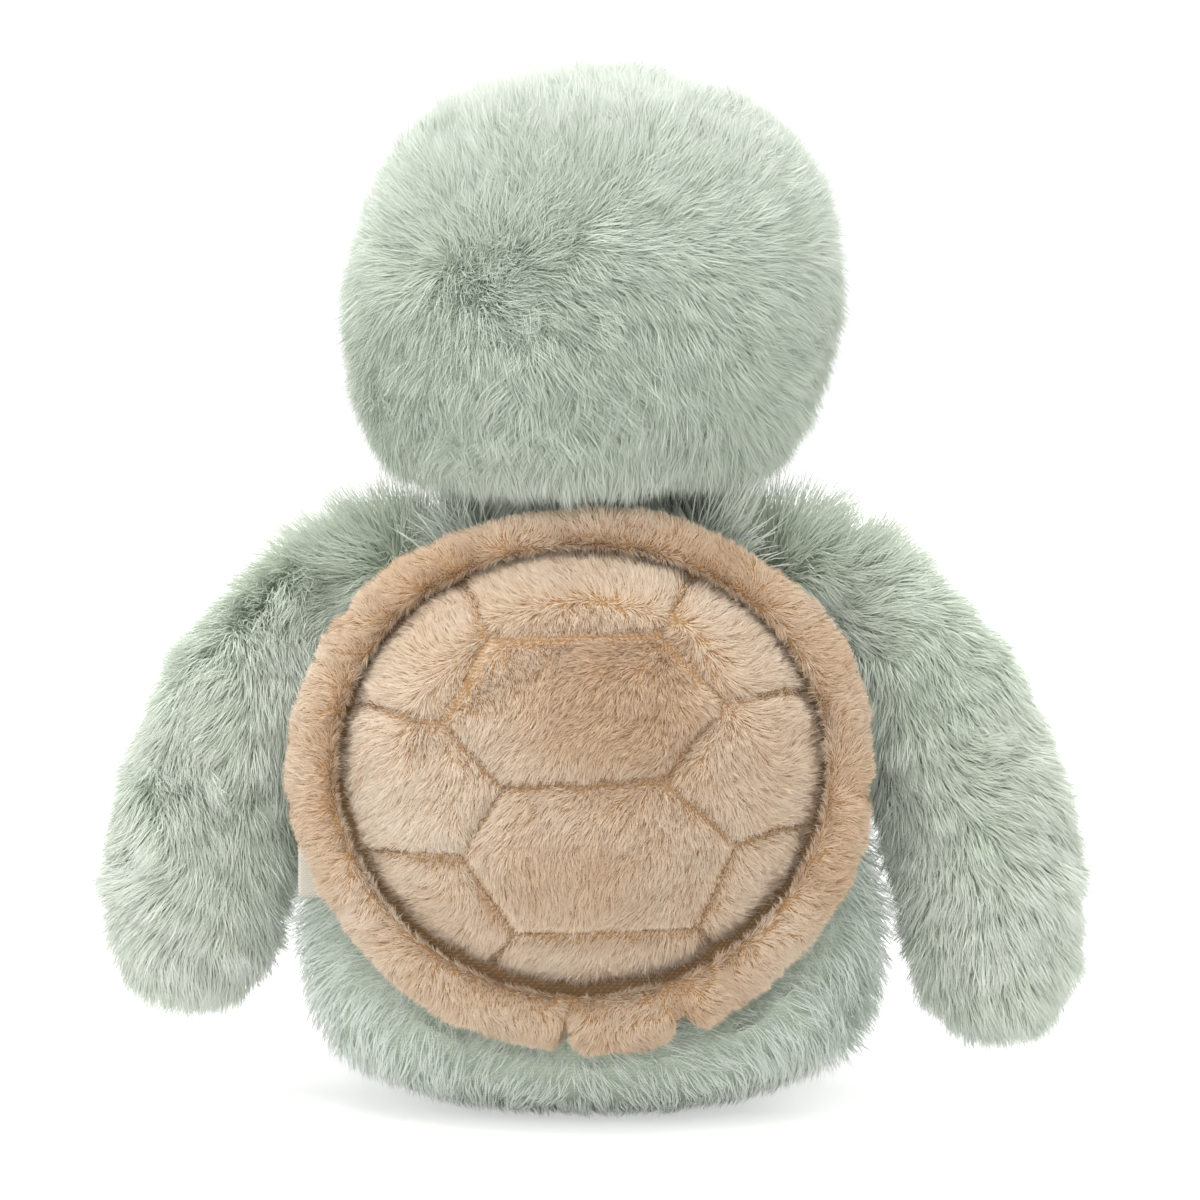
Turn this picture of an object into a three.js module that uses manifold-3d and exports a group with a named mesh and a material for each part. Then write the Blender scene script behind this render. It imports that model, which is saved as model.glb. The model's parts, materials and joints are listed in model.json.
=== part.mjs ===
import * as THREE from 'three';
import { mergeVertices } from 'three/addons/utils/BufferGeometryUtils.js';
import Module from 'manifold-3d';

// Seated plush turtle, millimetres, +Z up. The face looks along -Y and the shell faces +Y.
// The origin is on the ground under the middle of the seat. Every outline is that of the pile.

const manifoldLibrary = await Module();
manifoldLibrary.setup();

// Clearances and thread
const clearance = 0.3;
const fillGap = 0.8;
const overrun = 4;
const threadRadius = 0.8;
const grooveRoom = 0.6;
const weldTolerance = 0.0001;

// Torso
const torsoHalfWidth = 83;
const torsoHalfDepth = 57;
const torsoHeight = 163;
const torsoPile = 9;
const seatFlat = 0.5;
const bellyPanelHalfWidth = 40;
const bellyPanelHalfHeight = 50;
const bellyPanelHeight = 84;
const bellySeamDepth = 20;

// Bean pouch in the seat
const pouchHalfWidth = 34;
const pouchHalfDepth = 20;
const pouchBack = 6;
const pouchLift = 0.8;
const pouchHeight = 22;
const pouchWall = 1.2;
const pouchHoleRadius = 9;

// Head
const headHalfWidth = 68;
const headHalfDepth = 59;
const headHeight = 122;
const headPile = 12;
const headForward = 3;
const headTilt = 4.5;
const headTurnAtRest = 9;
const muzzleHalfWidth = 66;
const muzzleHalfHeight = 36;
const muzzleHalfDepth = 50;
const muzzlePile = 7;
const muzzleProud = 12;
const muzzleForward = headHalfDepth + muzzleProud - muzzleHalfDepth;
const muzzleRise = 26;

// Neck seam
const neckBallRadius = 32;
const neckRise = 11;
const neckBallHeight = torsoHeight + neckRise;
const neckForward = 5;
const neckRingDrop = 19;
const neckHoleRadius = 13;
const headBottomDrop = 14;
const nodBackLimit = 3;

// Face
const eyeRadius = 7;
const eyeHeight = 7.5;
const eyeRimMargin = 2.4;
const eyeStemRadius = 2.2;
const eyeWasherRadius = 8;
const eyeWasherThickness = 1.6;
const eyeBackingWall = 2.5;
const eyeSideAngle = 31;
const eyeHeightShare = 0.645;
const mouthHalfWidth = 17;
const mouthRise = 5;
const mouthDrop = 9;
const nostrilSpacing = 13;
const nostrilRise = 11;
const nostrilRadius = 2.2;

// Arms
const shoulderInset = 32;
const shoulderDrop = 27;
const shoulderX = torsoHalfWidth - shoulderInset;
const shoulderY = -9;
const shoulderZ = torsoHeight - shoulderDrop;
const shoulderBallRadius = 23;
const shoulderRingInset = 5;
const armHalfWidth = 27.5;
const armHalfThickness = 21;
const armReachOut = 58.5;
const armReachDown = 115;
const armOutDifference = 1.5;
const armDownDifference = 4;
const armPile = 12;
const limbHoleRadius = 6;
const armSwingStops = [-6, 4, 14, 27];

// Legs
const hipInset = 43;
const hipSink = 21;
const hipX = torsoHalfWidth - hipInset;
const hipY = hipSink - torsoHalfDepth;
const hipZ = 27;
const hipBallRadius = 24;
const legHalfWidth = 25;
const legHalfHeight = 27;
const legReachOut = 12;
const legReachForward = 79;
const legPile = 10;
const legSwingStops = [-9, 16];

// Shell
const shellCentreX = 2;
const shellCentreZ = 95.5;
const shellSink = 12;
const shellBackY = torsoHalfDepth - shellSink;
const shellTilt = 8;
const shellBendAcross = 22;
const shellBendUp = 9;
const shellHalfWidth = 72;
const shellHalfHeight = 66;
const shellBackingThickness = 2;
const rimTopRadius = 6.6;
const rimBottomRadius = 8.8;
const rimWall = 4.2;
const rimSlitAngle = 225;
const rimSlitHalfAngle = 16;
const rimFillAngle = 288;
const rimGap = 3.8;
const rimMeanRadius = (rimTopRadius + rimBottomRadius) / 2;
const domeHalfWidth = shellHalfWidth - rimMeanRadius - rimGap;
const domeHalfHeight = shellHalfHeight - rimMeanRadius - rimGap;
const domeHeight = 33;
const domeOffsetUp = 2.5;
const domeWall = 5;
const quiltDepth = 4;
const quiltWidth = 5;
const crownPower = 2.6;

// Care label
const labelWidth = 22;
const labelHeight = 13.5;
const labelThickness = 0.8;
const labelY = 19;
const labelZ = 67;
const labelProud = 1.5;
const labelOuterX = torsoHalfWidth + labelProud;

// Outlines, as shares of the sizes that they follow: [height share, radius share]
const torsoProfileShares = [
  [0, 0], [0, 0.4], [0.02, 0.62], [0.08, 0.835], [0.17, 0.955], [0.3, 1], [0.44, 0.94],
  [0.6, 0.8], [0.82, 0.69], [0.94, 0.59], [1, 0.4], [1, 0],
];
const headProfileShares = [
  [0, 0], [0, 0.4], [0.04, 0.68], [0.11, 0.84], [0.21, 0.93], [0.34, 0.985], [0.48, 1],
  [0.62, 0.965], [0.75, 0.88], [0.87, 0.72], [0.95, 0.48], [1, 0],
];
const pouchProfileShares = [
  [0, 0], [0, 0.75], [0.15, 0.93], [0.4, 1], [0.7, 0.9], [0.92, 0.6], [1, 0.3], [1, 0],
];
// Limb outlines: [share along the limb, radius share]
const armRadiusShares = [
  [0, 0], [0.02, 0.45], [0.08, 0.74], [0.2, 0.91], [0.38, 1], [0.6, 1],
  [0.76, 0.985], [0.87, 0.9], [0.94, 0.72], [0.985, 0.4], [1, 0],
];
const legRadiusShares = [
  [0, 0], [0.02, 0.4], [0.08, 0.68], [0.22, 0.86], [0.42, 0.95], [0.62, 1], [0.8, 0.96],
  [0.91, 0.8], [0.975, 0.48], [1, 0],
];
// Limb middle lines: [share out, share down] and [share out, share forward, share of the drop]
const armSpineShares = [[-0.08, -0.02], [0.3, 0.02], [0.58, 0.14], [0.83, 0.37], [0.96, 0.65], [1, 1]];
const mouthRouteShares = [-1, -0.6, -0.2, 0.2, 0.6, 1];
const legSpineShares = [[-0.15, -0.16, 0], [0.2, 0.2, 0.35], [0.7, 0.65, 0.8], [1, 1, 1]];
// Rings of the shell's pieces, as shares of the half width
const domeRingShares = [0.16, 0.32, 0.46, 0.58, 0.69, 0.79, 0.87, 0.94, 0.98, 1];
const fillRingShares = [0.3, 0.55, 0.75, 0.9, 1];
const discRingShares = [0.3, 0.6, 0.82, 1];
const clearRingShares = [0.3, 0.6, 0.82, 1, 1.16];
// Seams of the quilted dome, as shares of its half width and half height from its middle.
// Left and right are the toy's own, so left is +X.
const quiltCornerShares = {
  upperLeft: [0.395, 0.625], upperRight: [-0.335, 0.655], right: [-0.605, 0.31],
  centreRight: [-0.365, -0.045], centreLeft: [0.325, -0.075], left: [0.61, 0.22],
  lowerLeft: [0.525, -0.41], lowerRight: [-0.665, -0.35],
  bottomLeft: [0.29, -0.79], bottomRight: [-0.5, -0.77],
  edgeTopLeft: [0.5, 0.87], edgeTopRight: [-0.47, 0.88], edgeRight: [-0.94, 0.35],
  edgeLeft: [0.96, 0.28], edgeLowerLeft: [0.9, -0.42], edgeLowerRight: [-0.95, -0.3],
  edgeBottomLeft: [0.38, -0.93], edgeBottomRight: [-0.55, -0.84],
};
const quiltSeams = [
  ['upperLeft', 'upperRight'], ['upperRight', 'right'], ['right', 'centreRight'],
  ['centreRight', 'centreLeft'], ['centreLeft', 'left'], ['left', 'upperLeft'],
  ['centreLeft', 'lowerLeft'], ['centreRight', 'lowerRight'],
  ['lowerLeft', 'bottomLeft'], ['lowerRight', 'bottomRight'], ['bottomLeft', 'bottomRight'],
  ['upperLeft', 'edgeTopLeft'], ['upperRight', 'edgeTopRight'], ['right', 'edgeRight'],
  ['left', 'edgeLeft'], ['lowerLeft', 'edgeLowerLeft'], ['lowerRight', 'edgeLowerRight'],
  ['bottomLeft', 'edgeBottomLeft'], ['bottomRight', 'edgeBottomRight'],
];

// Finishes
const finishes = {
  sagePile: { color: 0xb4bfb1, roughness: 0.95, metalness: 0 },
  sageBody: { color: 0xa9b3a6, roughness: 0.95, metalness: 0 },
  beigePile: { color: 0xc9a986, roughness: 0.92, metalness: 0 },
  creamPile: { color: 0xe6dccb, roughness: 0.93, metalness: 0 },
  fibreFill: { color: 0xf2f1ec, roughness: 1, metalness: 0 },
  backingCloth: { color: 0xd8cdb8, roughness: 0.9, metalness: 0 },
  ribbonCloth: { color: 0xdccfb8, roughness: 0.8, metalness: 0 },
  pellets: { color: 0xe4e4df, roughness: 0.5, metalness: 0 },
  eyePlastic: { color: 0x1c1512, roughness: 0.15, metalness: 0 },
  washerPlastic: { color: 0xe8e8e4, roughness: 0.5, metalness: 0 },
  faceThread: { color: 0x6b5a49, roughness: 0.8, metalness: 0 },
  seamThread: { color: 0x9aa897, roughness: 0.85, metalness: 0 },
};

const radians = THREE.MathUtils.degToRad;
const vector = (x, y, z) => new THREE.Vector3(x, y, z);
const xAxis = vector(1, 0, 0);
const yAxis = vector(0, 1, 0);
const zAxis = vector(0, 0, 1);

// Places of the joints. A share of 1 mirrors to -1 for the right side.
const neck = vector(0, -neckForward, neckBallHeight);
const sides = { left: 1, right: -1 };
const shoulderOf = (side) => vector(side * shoulderX, shoulderY, shoulderZ);
const hipOf = (side) => vector(side * hipX, hipY, hipZ);

// Counts of sides round each form and round the hidden forms inside it
const formSides = 20;
const insideSides = 10;
const limbSides = 10;
const limbInsideSides = 8;
const shellSides = 28;
const ballSides = 10;
const ballRings = 6;
const pinSides = 12;
const threadSides = 4;
const seamSteps = 20;
const mouthSteps = 12;
const eyeSides = 12;
const eyeRings = 5;
const nostrilRings = 6;

// Geometry to a solid that can be cut and joined, and back

function welded(geometry) {
  const bare = geometry.clone();
  bare.deleteAttribute('normal');
  bare.deleteAttribute('uv');
  return mergeVertices(bare, weldTolerance);
}

function solid(geometry) {
  const closed = welded(geometry);
  const mesh = new manifoldLibrary.Mesh({
    numProp: 3,
    vertProperties: new Float32Array(closed.attributes.position.array),
    triVerts: new Uint32Array(closed.index.array),
  });
  return new manifoldLibrary.Manifold(mesh);
}

function geometryOf(manifold) {
  const mesh = manifold.getMesh();
  const geometry = new THREE.BufferGeometry();
  geometry.setAttribute('position', new THREE.BufferAttribute(mesh.vertProperties, 3));
  geometry.setIndex(new THREE.BufferAttribute(mesh.triVerts, 1));
  return geometry;
}

function indexed(positions, indices) {
  const geometry = new THREE.BufferGeometry();
  geometry.setAttribute('position', new THREE.Float32BufferAttribute(positions, 3));
  geometry.setIndex(indices);
  return geometry;
}

function cutBy(whole, cutters) {
  return cutters.reduce((rest, cutter) => rest.subtract(cutter), whole);
}

// The same form drawn in by a wall thickness about its own middle, or grown by a negative one
function inset(geometry, depth) {
  const form = welded(geometry);
  form.computeBoundingBox();
  const middle = form.boundingBox.getCenter(vector(0, 0, 0));
  const half = form.boundingBox.getSize(vector(0, 0, 0)).multiplyScalar(1 / 2);
  return form
    .translate(-middle.x, -middle.y, -middle.z)
    .scale(1 - depth / half.x, 1 - depth / half.y, 1 - depth / half.z)
    .translate(middle.x, middle.y, middle.z);
}

// The cutter as it stands to a limb that has swung about a joint, one copy for each stop
function sweptCutters(geometry, centre, axis, stops) {
  return stops.map((stop) => {
    const turned = geometry.clone().translate(-centre.x, -centre.y, -centre.z);
    turned.applyMatrix4(new THREE.Matrix4().makeRotationAxis(axis, -radians(stop)));
    return solid(turned.translate(centre.x, centre.y, centre.z));
  });
}

// Every other point of an outline, with its ends, for the hidden forms
const coarse = (shares) => shares.filter((_, i) => i % 2 === 1 || i === 0 || i === shares.length - 1);

function ball(radius, centre) {
  return new THREE.SphereGeometry(radius, ballSides, ballRings)
    .rotateX(Math.PI / 2)
    .translate(centre.x, centre.y, centre.z);
}

// The space for a ball: its faces, not its corners, reach the radius, and they meet the ball's corners
function ballSpace(radius, centre) {
  const rings = ballRings - 1;
  const faceShare = Math.cos(Math.PI / ballSides) * Math.cos(Math.PI / (2 * rings));
  return new THREE.SphereGeometry(radius / faceShare, ballSides, rings)
    .rotateX(Math.PI / 2)
    .rotateZ(Math.PI / ballSides)
    .translate(centre.x, centre.y, centre.z);
}

function pin(radius, low, high) {
  return new THREE.CylinderGeometry(radius, radius, high - low, pinSides)
    .rotateX(Math.PI / 2)
    .translate(0, 0, (low + high) / 2);
}

// Faces for a start pole, rings of points and an end pole, pointing outwards
function closedRings(ringCount, segments) {
  const indices = [];
  const last = 1 + ringCount * segments;
  const at = (ring, i) => 1 + ring * segments + (i % segments);
  for (let i = 0; i < segments; i += 1) {
    indices.push(0, at(0, i + 1), at(0, i));
    for (let ring = 0; ring < ringCount - 1; ring += 1) {
      indices.push(at(ring, i), at(ring, i + 1), at(ring + 1, i + 1));
      indices.push(at(ring, i), at(ring + 1, i + 1), at(ring + 1, i));
    }
    indices.push(last, at(ringCount - 1, i), at(ringCount - 1, i + 1));
  }
  return indices;
}

// A form turned about an upright line: its outline runs from the bottom pole to the top pole
function turnedForm(profileShares, radius, height, segments) {
  const profile = profileShares.map(([up, out]) => new THREE.Vector2(out * radius, up * height));
  return new THREE.LatheGeometry(profile, segments).rotateX(Math.PI / 2);
}

// A form that follows a middle line, with an oval section that swells and tapers
function limbForm(limb, wall, radiusShares, segments) {
  const positions = [];
  const length = limb.curve.getLength();
  const place = (share, across, over) => {
    const drawnIn = wall / length + share * (1 - (2 * wall) / length);
    const along = limb.curve.getTangentAt(drawnIn);
    const side = vector(0, 0, 0).crossVectors(limb.flatAxis, along).normalize();
    const lift = vector(0, 0, 0).crossVectors(along, side);
    const point = limb.curve.getPointAt(drawnIn).addScaledVector(side, across).addScaledVector(lift, over);
    positions.push(point.x, point.y, point.z);
  };
  const rings = radiusShares.slice(1, -1);
  place(0, 0, 0);
  rings.forEach(([share, radiusShare]) => {
    for (let i = 0; i < segments; i += 1) {
      const angle = (i / segments) * 2 * Math.PI;
      const across = radiusShare * (limb.halfWidth - wall) * Math.cos(angle);
      place(share, across, radiusShare * (limb.halfThickness - wall) * Math.sin(angle));
    }
  });
  place(1, 0, 0);
  return indexed(positions, closedRings(rings.length, segments));
}

// A thread round a ball, at a height along the ball's axis, or the groove for it with a margin round it
function threadRing(ballRadius, offset, margin) {
  const reach = ballRadius + clearance + threadRadius;
  const ringRadius = Math.sqrt(reach * reach - offset * offset);
  return new THREE.TorusGeometry(ringRadius, threadRadius + margin, threadSides, seamSteps)
    .translate(0, 0, offset);
}

function neckThread(margin) {
  return threadRing(neckBallRadius, -neckRingDrop, margin).translate(neck.x, neck.y, neck.z);
}

function shoulderThread(side, margin) {
  const centre = shoulderOf(side);
  return threadRing(shoulderBallRadius, -shoulderRingInset, margin)
    .rotateY((side * Math.PI) / 2)
    .translate(centre.x, centre.y, centre.z);
}

// Shell frame: across, up and away from the back, bent round the torso
function shellPlace(across, up, out) {
  const bendAcross = shellBendAcross * (across / shellHalfWidth) ** 2;
  const bendUp = shellBendUp * (up / shellHalfHeight) ** 2;
  const tilt = radians(shellTilt);
  return vector(
    shellCentreX + across,
    shellBackY + out * Math.cos(tilt) - up * Math.sin(tilt) - bendAcross - bendUp,
    shellCentreZ + up * Math.cos(tilt) + out * Math.sin(tilt),
  );
}

// Oval shell pieces: rings of points from a front pole over the edge to a back pole.
// Each side has its ring shares, its half sizes and its height at a place on the oval.
function ovalForm(front, back, offsetUp, segments) {
  const positions = [];
  const place = (side, x, y) => {
    const point = shellPlace(x * side.halfWidth, offsetUp + y * side.halfHeight, side.heightAt(x, y));
    positions.push(point.x, point.y, point.z);
  };
  const addRings = (side) => side.shares.forEach((share) => {
    for (let i = 0; i < segments; i += 1) {
      const angle = (i / segments) * 2 * Math.PI;
      place(side, share * Math.cos(angle), share * Math.sin(angle));
    }
  });
  place(front, 0, 0);
  addRings(front);
  addRings({ ...back, shares: [...back.shares].reverse() });
  place(back, 0, 0);
  return indexed(positions, closedRings(front.shares.length + back.shares.length, segments));
}

// Dome of the shell

function seamDistance(x, y) {
  const point = new THREE.Vector2(x * domeHalfWidth, y * domeHalfHeight);
  const distances = quiltSeams.map((seam) => {
    const [start, end] = seam.map((name) => {
      const [across, up] = quiltCornerShares[name];
      return new THREE.Vector2(across * domeHalfWidth, up * domeHalfHeight);
    });
    const run = end.clone().sub(start);
    const share = THREE.MathUtils.clamp(point.clone().sub(start).dot(run) / run.lengthSq(), 0, 1);
    return point.distanceTo(start.addScaledVector(run, share));
  });
  return Math.min(...distances);
}

function crownHeight(x, y, height) {
  const radius = Math.min(1, Math.hypot(x, y));
  return height * Math.sqrt(1 - radius ** crownPower);
}

function domeFront(x, y) {
  const channel = quiltDepth * Math.exp(-((seamDistance(x, y) / quiltWidth) ** 2));
  const crown = crownHeight(x, y, domeHeight);
  return clearance + Math.max(crown - channel * Math.min(1, crown / (2 * quiltDepth)), 0);
}

function domeSide(drawnIn, shares, heightAt) {
  return {
    shares,
    halfWidth: domeHalfWidth - drawnIn,
    halfHeight: domeHalfHeight - drawnIn,
    heightAt,
  };
}

function shellDomeCover() {
  const inside = (x, y) => clearance + crownHeight(x, y, domeHeight - domeWall - quiltDepth / 2);
  const front = domeSide(0, domeRingShares, domeFront);
  return solid(ovalForm(front, domeSide(domeWall, fillRingShares, inside), domeOffsetUp, shellSides));
}

function shellStuffing() {
  const drawnIn = domeWall + fillGap;
  const crown = (x, y) => fillGap + crownHeight(x, y, domeHeight - domeWall - quiltDepth / 2 - 2 * fillGap);
  const front = domeSide(drawnIn, fillRingShares, crown);
  return solid(ovalForm(front, domeSide(drawnIn, discRingShares, () => fillGap), domeOffsetUp, shellSides));
}

function shellBacking() {
  const face = { shares: discRingShares, halfWidth: shellHalfWidth, halfHeight: shellHalfHeight };
  const front = { ...face, heightAt: () => 0 };
  return solid(ovalForm(front, { ...face, heightAt: () => -shellBackingThickness }, 0, shellSides));
}

// What the shell needs free in the torso behind its backing
function shellSpace(margin) {
  const face = { shares: clearRingShares, halfWidth: shellHalfWidth, halfHeight: shellHalfHeight };
  const front = { ...face, heightAt: () => domeHeight + overrun };
  const back = { ...face, heightAt: () => -(shellBackingThickness + margin) };
  return solid(ovalForm(front, back, 0, shellSides));
}

// Rim of the shell: a roll whose cover is slit along the seam that joins it to the dome

const rimRadiusAt = (angle) => THREE.MathUtils.lerp(rimBottomRadius, rimTopRadius, (1 + Math.sin(angle)) / 2);

function rimRing(section) {
  const positions = [];
  const indices = [];
  const count = section(rimTopRadius).length;
  for (let step = 0; step < shellSides; step += 1) {
    const angle = (step / shellSides) * 2 * Math.PI;
    const outward = new THREE.Vector2(Math.cos(angle) / shellHalfWidth, Math.sin(angle) / shellHalfHeight);
    outward.normalize();
    section(rimRadiusAt(angle)).forEach(({ x, y }) => {
      const across = shellHalfWidth * Math.cos(angle) + x * outward.x;
      const up = shellHalfHeight * Math.sin(angle) + x * outward.y;
      const point = shellPlace(across, up, clearance + rimRadiusAt(angle) + y);
      positions.push(point.x, point.y, point.z);
    });
  }
  const at = (step, i) => (step % shellSides) * count + (i % count);
  for (let step = 0; step < shellSides; step += 1) {
    for (let i = 0; i < count; i += 1) {
      indices.push(at(step, i), at(step, i + 1), at(step + 1, i + 1));
      indices.push(at(step, i), at(step + 1, i + 1), at(step + 1, i));
    }
  }
  return solid(indexed(positions, indices));
}

function arc(radius, startAngle, endAngle, count) {
  return Array.from({ length: count }, (_, i) => {
    const angle = radians(startAngle + ((endAngle - startAngle) * i) / (count - 1));
    return new THREE.Vector2(radius * Math.cos(angle), radius * Math.sin(angle));
  });
}

function shellRimCover() {
  const start = rimSlitAngle - 360 + rimSlitHalfAngle;
  const end = rimSlitAngle - rimSlitHalfAngle;
  return rimRing((radius) => [...arc(radius, start, end, 8), ...arc(radius - rimWall, end, start, 5)]);
}

function shellRimFill() {
  return rimRing((radius) => arc(radius - rimWall - 2 * fillGap, 0, rimFillAngle, 5));
}

// Torso

function torsoShape(profileShares, segments) {
  return turnedForm(profileShares, torsoHalfWidth, torsoHeight + seatFlat, segments)
    .scale(1, torsoHalfDepth / torsoHalfWidth, 1)
    .translate(0, 0, -seatFlat);
}

const torsoForm = torsoShape(torsoProfileShares, formSides);
const torsoInsideForm = torsoShape(coarse(torsoProfileShares), insideSides);
const torsoClearForm = inset(torsoForm, -3 * clearance);

function jointSockets(margin) {
  const room = clearance + margin;
  const perSide = Object.values(sides).flatMap((side) => [
    solid(ballSpace(shoulderBallRadius + room, shoulderOf(side))),
    solid(shoulderThread(side, grooveRoom + margin)),
    solid(ballSpace(hipBallRadius + room, hipOf(side))),
  ]);
  return [solid(ballSpace(neckBallRadius + room, neck)), solid(neckThread(grooveRoom + margin)), ...perSide];
}

function groundBlock() {
  const side = 2 * (torsoHalfWidth + legReachForward);
  return solid(new THREE.BoxGeometry(side, side, side).translate(0, 0, -side / 2));
}

function bellyCutter(margin) {
  const cutter = new THREE.CylinderGeometry(1, 1, 2 * torsoHalfDepth, formSides)
    .scale(bellyPanelHalfWidth + margin, 1, bellyPanelHalfHeight + margin)
    .translate(0, -torsoHalfDepth - bellySeamDepth, bellyPanelHeight);
  return solid(cutter);
}

const ground = groundBlock();
const torsoWall = cutBy(
  solid(torsoForm),
  [solid(inset(torsoInsideForm, torsoPile)), shellSpace(clearance), ground, ...jointSockets(0)],
);
const bodyBackCover = () => torsoWall.subtract(bellyCutter(clearance));
const bellyPanel = () => torsoWall.intersect(bellyCutter(0));

// Bean pouch with a filling hole in its top, and the pellets in it

const pouchForm = turnedForm(pouchProfileShares, pouchHalfWidth, pouchHeight, insideSides)
  .scale(1, pouchHalfDepth / pouchHalfWidth, 1)
  .translate(0, pouchBack, torsoPile + pouchLift);

function beanPouch() {
  const hole = solid(
    pin(pouchHoleRadius, torsoPile + pouchHeight / 2, torsoPile + 2 * pouchHeight).translate(0, pouchBack, 0),
  );
  return cutBy(solid(pouchForm), [solid(inset(pouchForm, pouchWall)), hole]);
}

const pelletFill = () => solid(inset(pouchForm, pouchWall + clearance));

function bodyStuffing() {
  const fill = solid(inset(torsoInsideForm, torsoPile + fillGap));
  const pouchSpace = inset(pouchForm, -fillGap);
  const under = solid(pouchSpace.clone().translate(0, 0, -pouchHeight / 2));
  return cutBy(fill, [solid(pouchSpace), under, shellSpace(2 * clearance), ...jointSockets(clearance)]);
}

function careLabel() {
  const ribbon = new THREE.BoxGeometry(labelWidth, labelThickness, labelHeight)
    .translate(labelOuterX - labelWidth / 2, labelY, labelZ);
  return solid(ribbon).subtract(solid(torsoClearForm));
}

// Head, in its own frame: the origin is the middle of the neck seam's ball

function headShape(profileShares, segments) {
  return turnedForm(profileShares, headHalfWidth, headHeight, segments)
    .scale(1, headHalfDepth / headHalfWidth, 1)
    .translate(0, -headForward, -headBottomDrop);
}

function muzzleShape(segments) {
  return new THREE.SphereGeometry(1, segments, segments / 2)
    .rotateX(Math.PI / 2)
    .scale(muzzleHalfWidth, muzzleHalfDepth, muzzleHalfHeight)
    .translate(0, -headForward - muzzleForward, muzzleRise);
}

const headForm = headShape(headProfileShares, formSides);
const headInsideForm = headShape(coarse(headProfileShares), insideSides);
const muzzleForm = muzzleShape(formSides);
const muzzleInsideForm = muzzleShape(insideSides);
const neckMiddle = vector(0, 0, 0);

// The cone that keeps the head's underside off the rim's top when the head nods back or turns
function neckCone() {
  const nod = radians(nodBackLimit);
  const rimTop = shellPlace(0, shellHalfHeight, rimTopRadius).z + rimTopRadius + 2 * clearance - neckBallHeight;
  const heightAt = (radius) => (rimTop + radius * Math.sin(nod)) / Math.cos(nod);
  const reach = 2 * headHalfWidth;
  const low = -headHeight;
  const profile = [[0, low], [reach, low], [reach, heightAt(reach)], [0, heightAt(0)]];
  return new THREE.LatheGeometry(profile.map(([x, y]) => new THREE.Vector2(x, y)), shellSides)
    .rotateX(Math.PI / 2)
    .rotateY(radians(headTilt));
}

const headInside = () => solid(inset(headInsideForm, headPile))
  .add(solid(ball(neckBallRadius - headPile, neckMiddle)));

// Points of the head's outline and the direction in which they face
function headSurface(heightShare, azimuth) {
  const upper = headProfileShares.findIndex(([share]) => share > heightShare);
  const [lowShare, lowRadius] = headProfileShares[upper - 1];
  const [highShare, highRadius] = headProfileShares[upper];
  const blend = (heightShare - lowShare) / (highShare - lowShare);
  const radiusShare = THREE.MathUtils.lerp(lowRadius, highRadius, blend);
  const point = vector(
    headHalfWidth * radiusShare * Math.sin(azimuth),
    -headForward - headHalfDepth * radiusShare * Math.cos(azimuth),
    heightShare * headHeight - headBottomDrop,
  );
  const facing = vector(
    point.x / headHalfWidth ** 2,
    (point.y + headForward) / headHalfDepth ** 2,
    (point.z + headBottomDrop - headHeight / 2) / (headHeight / 2) ** 2,
  ).normalize();
  return { point, facing };
}

// Eye parts are made along +Z with the pile's outer face at zero, then turned to face outwards
function facingOut(geometry, side) {
  const { point, facing } = headSurface(eyeHeightShare, side * radians(eyeSideAngle));
  return geometry
    .applyQuaternion(new THREE.Quaternion().setFromUnitVectors(zAxis, facing))
    .translate(point.x, point.y, point.z);
}

const eyeSeat = eyeBackingWall - headPile;
const washerTop = -headPile - clearance;
const eyeFoot = washerTop - 2 * eyeWasherThickness;

function eyeSpaces(side) {
  const outerRadius = eyeRadius + 2 * eyeRimMargin;
  const recess = new THREE.CylinderGeometry(outerRadius, eyeRadius + clearance, overrun - eyeSeat, pinSides)
    .rotateX(Math.PI / 2)
    .translate(0, 0, (overrun + eyeSeat) / 2);
  const stemHole = pin(eyeStemRadius + clearance, washerTop, eyeSeat + clearance);
  const washerSpace = pin(eyeWasherRadius + clearance, eyeFoot - clearance, -headPile);
  return [recess, stemHole, washerSpace].map((form) => solid(facingOut(form, side)));
}

function eye(side) {
  const seat = eyeSeat + clearance;
  const dome = Array.from({ length: eyeRings }, (_, i) => {
    const angle = (i / eyeRings) * (Math.PI / 2);
    return new THREE.Vector2(eyeRadius * Math.cos(angle), seat + eyeHeight * Math.sin(angle));
  });
  dome.push(new THREE.Vector2(0, seat + eyeHeight));
  const foot = [[0, eyeFoot], [eyeStemRadius, eyeFoot], [eyeStemRadius, seat]];
  const profile = [...foot.map(([x, y]) => new THREE.Vector2(x, y)), ...dome];
  return solid(facingOut(new THREE.LatheGeometry(profile, eyeSides).rotateX(Math.PI / 2), side));
}

function eyeWasher(side) {
  const disc = solid(facingOut(pin(eyeWasherRadius, washerTop - eyeWasherThickness, washerTop), side));
  return disc.subtract(solid(facingOut(pin(eyeStemRadius + clearance, eyeFoot, 0), side)));
}

const bothEyeSpaces = () => Object.values(sides).flatMap(eyeSpaces);

function headCover() {
  const outer = solid(headForm).subtract(solid(neckCone())).add(solid(ball(neckBallRadius, neckMiddle)));
  const neckHole = solid(pin(neckHoleRadius, -2 * neckBallRadius, 0));
  const muzzleSpace = solid(inset(muzzleForm, -clearance));
  return cutBy(outer, [headInside(), neckHole, muzzleSpace, ...bothEyeSpaces()]);
}

function muzzleCover() {
  const inside = solid(inset(muzzleInsideForm, muzzlePile));
  return cutBy(solid(muzzleForm), [inside, headInside(), solid(neckCone()), ...bothEyeSpaces()]);
}

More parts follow.
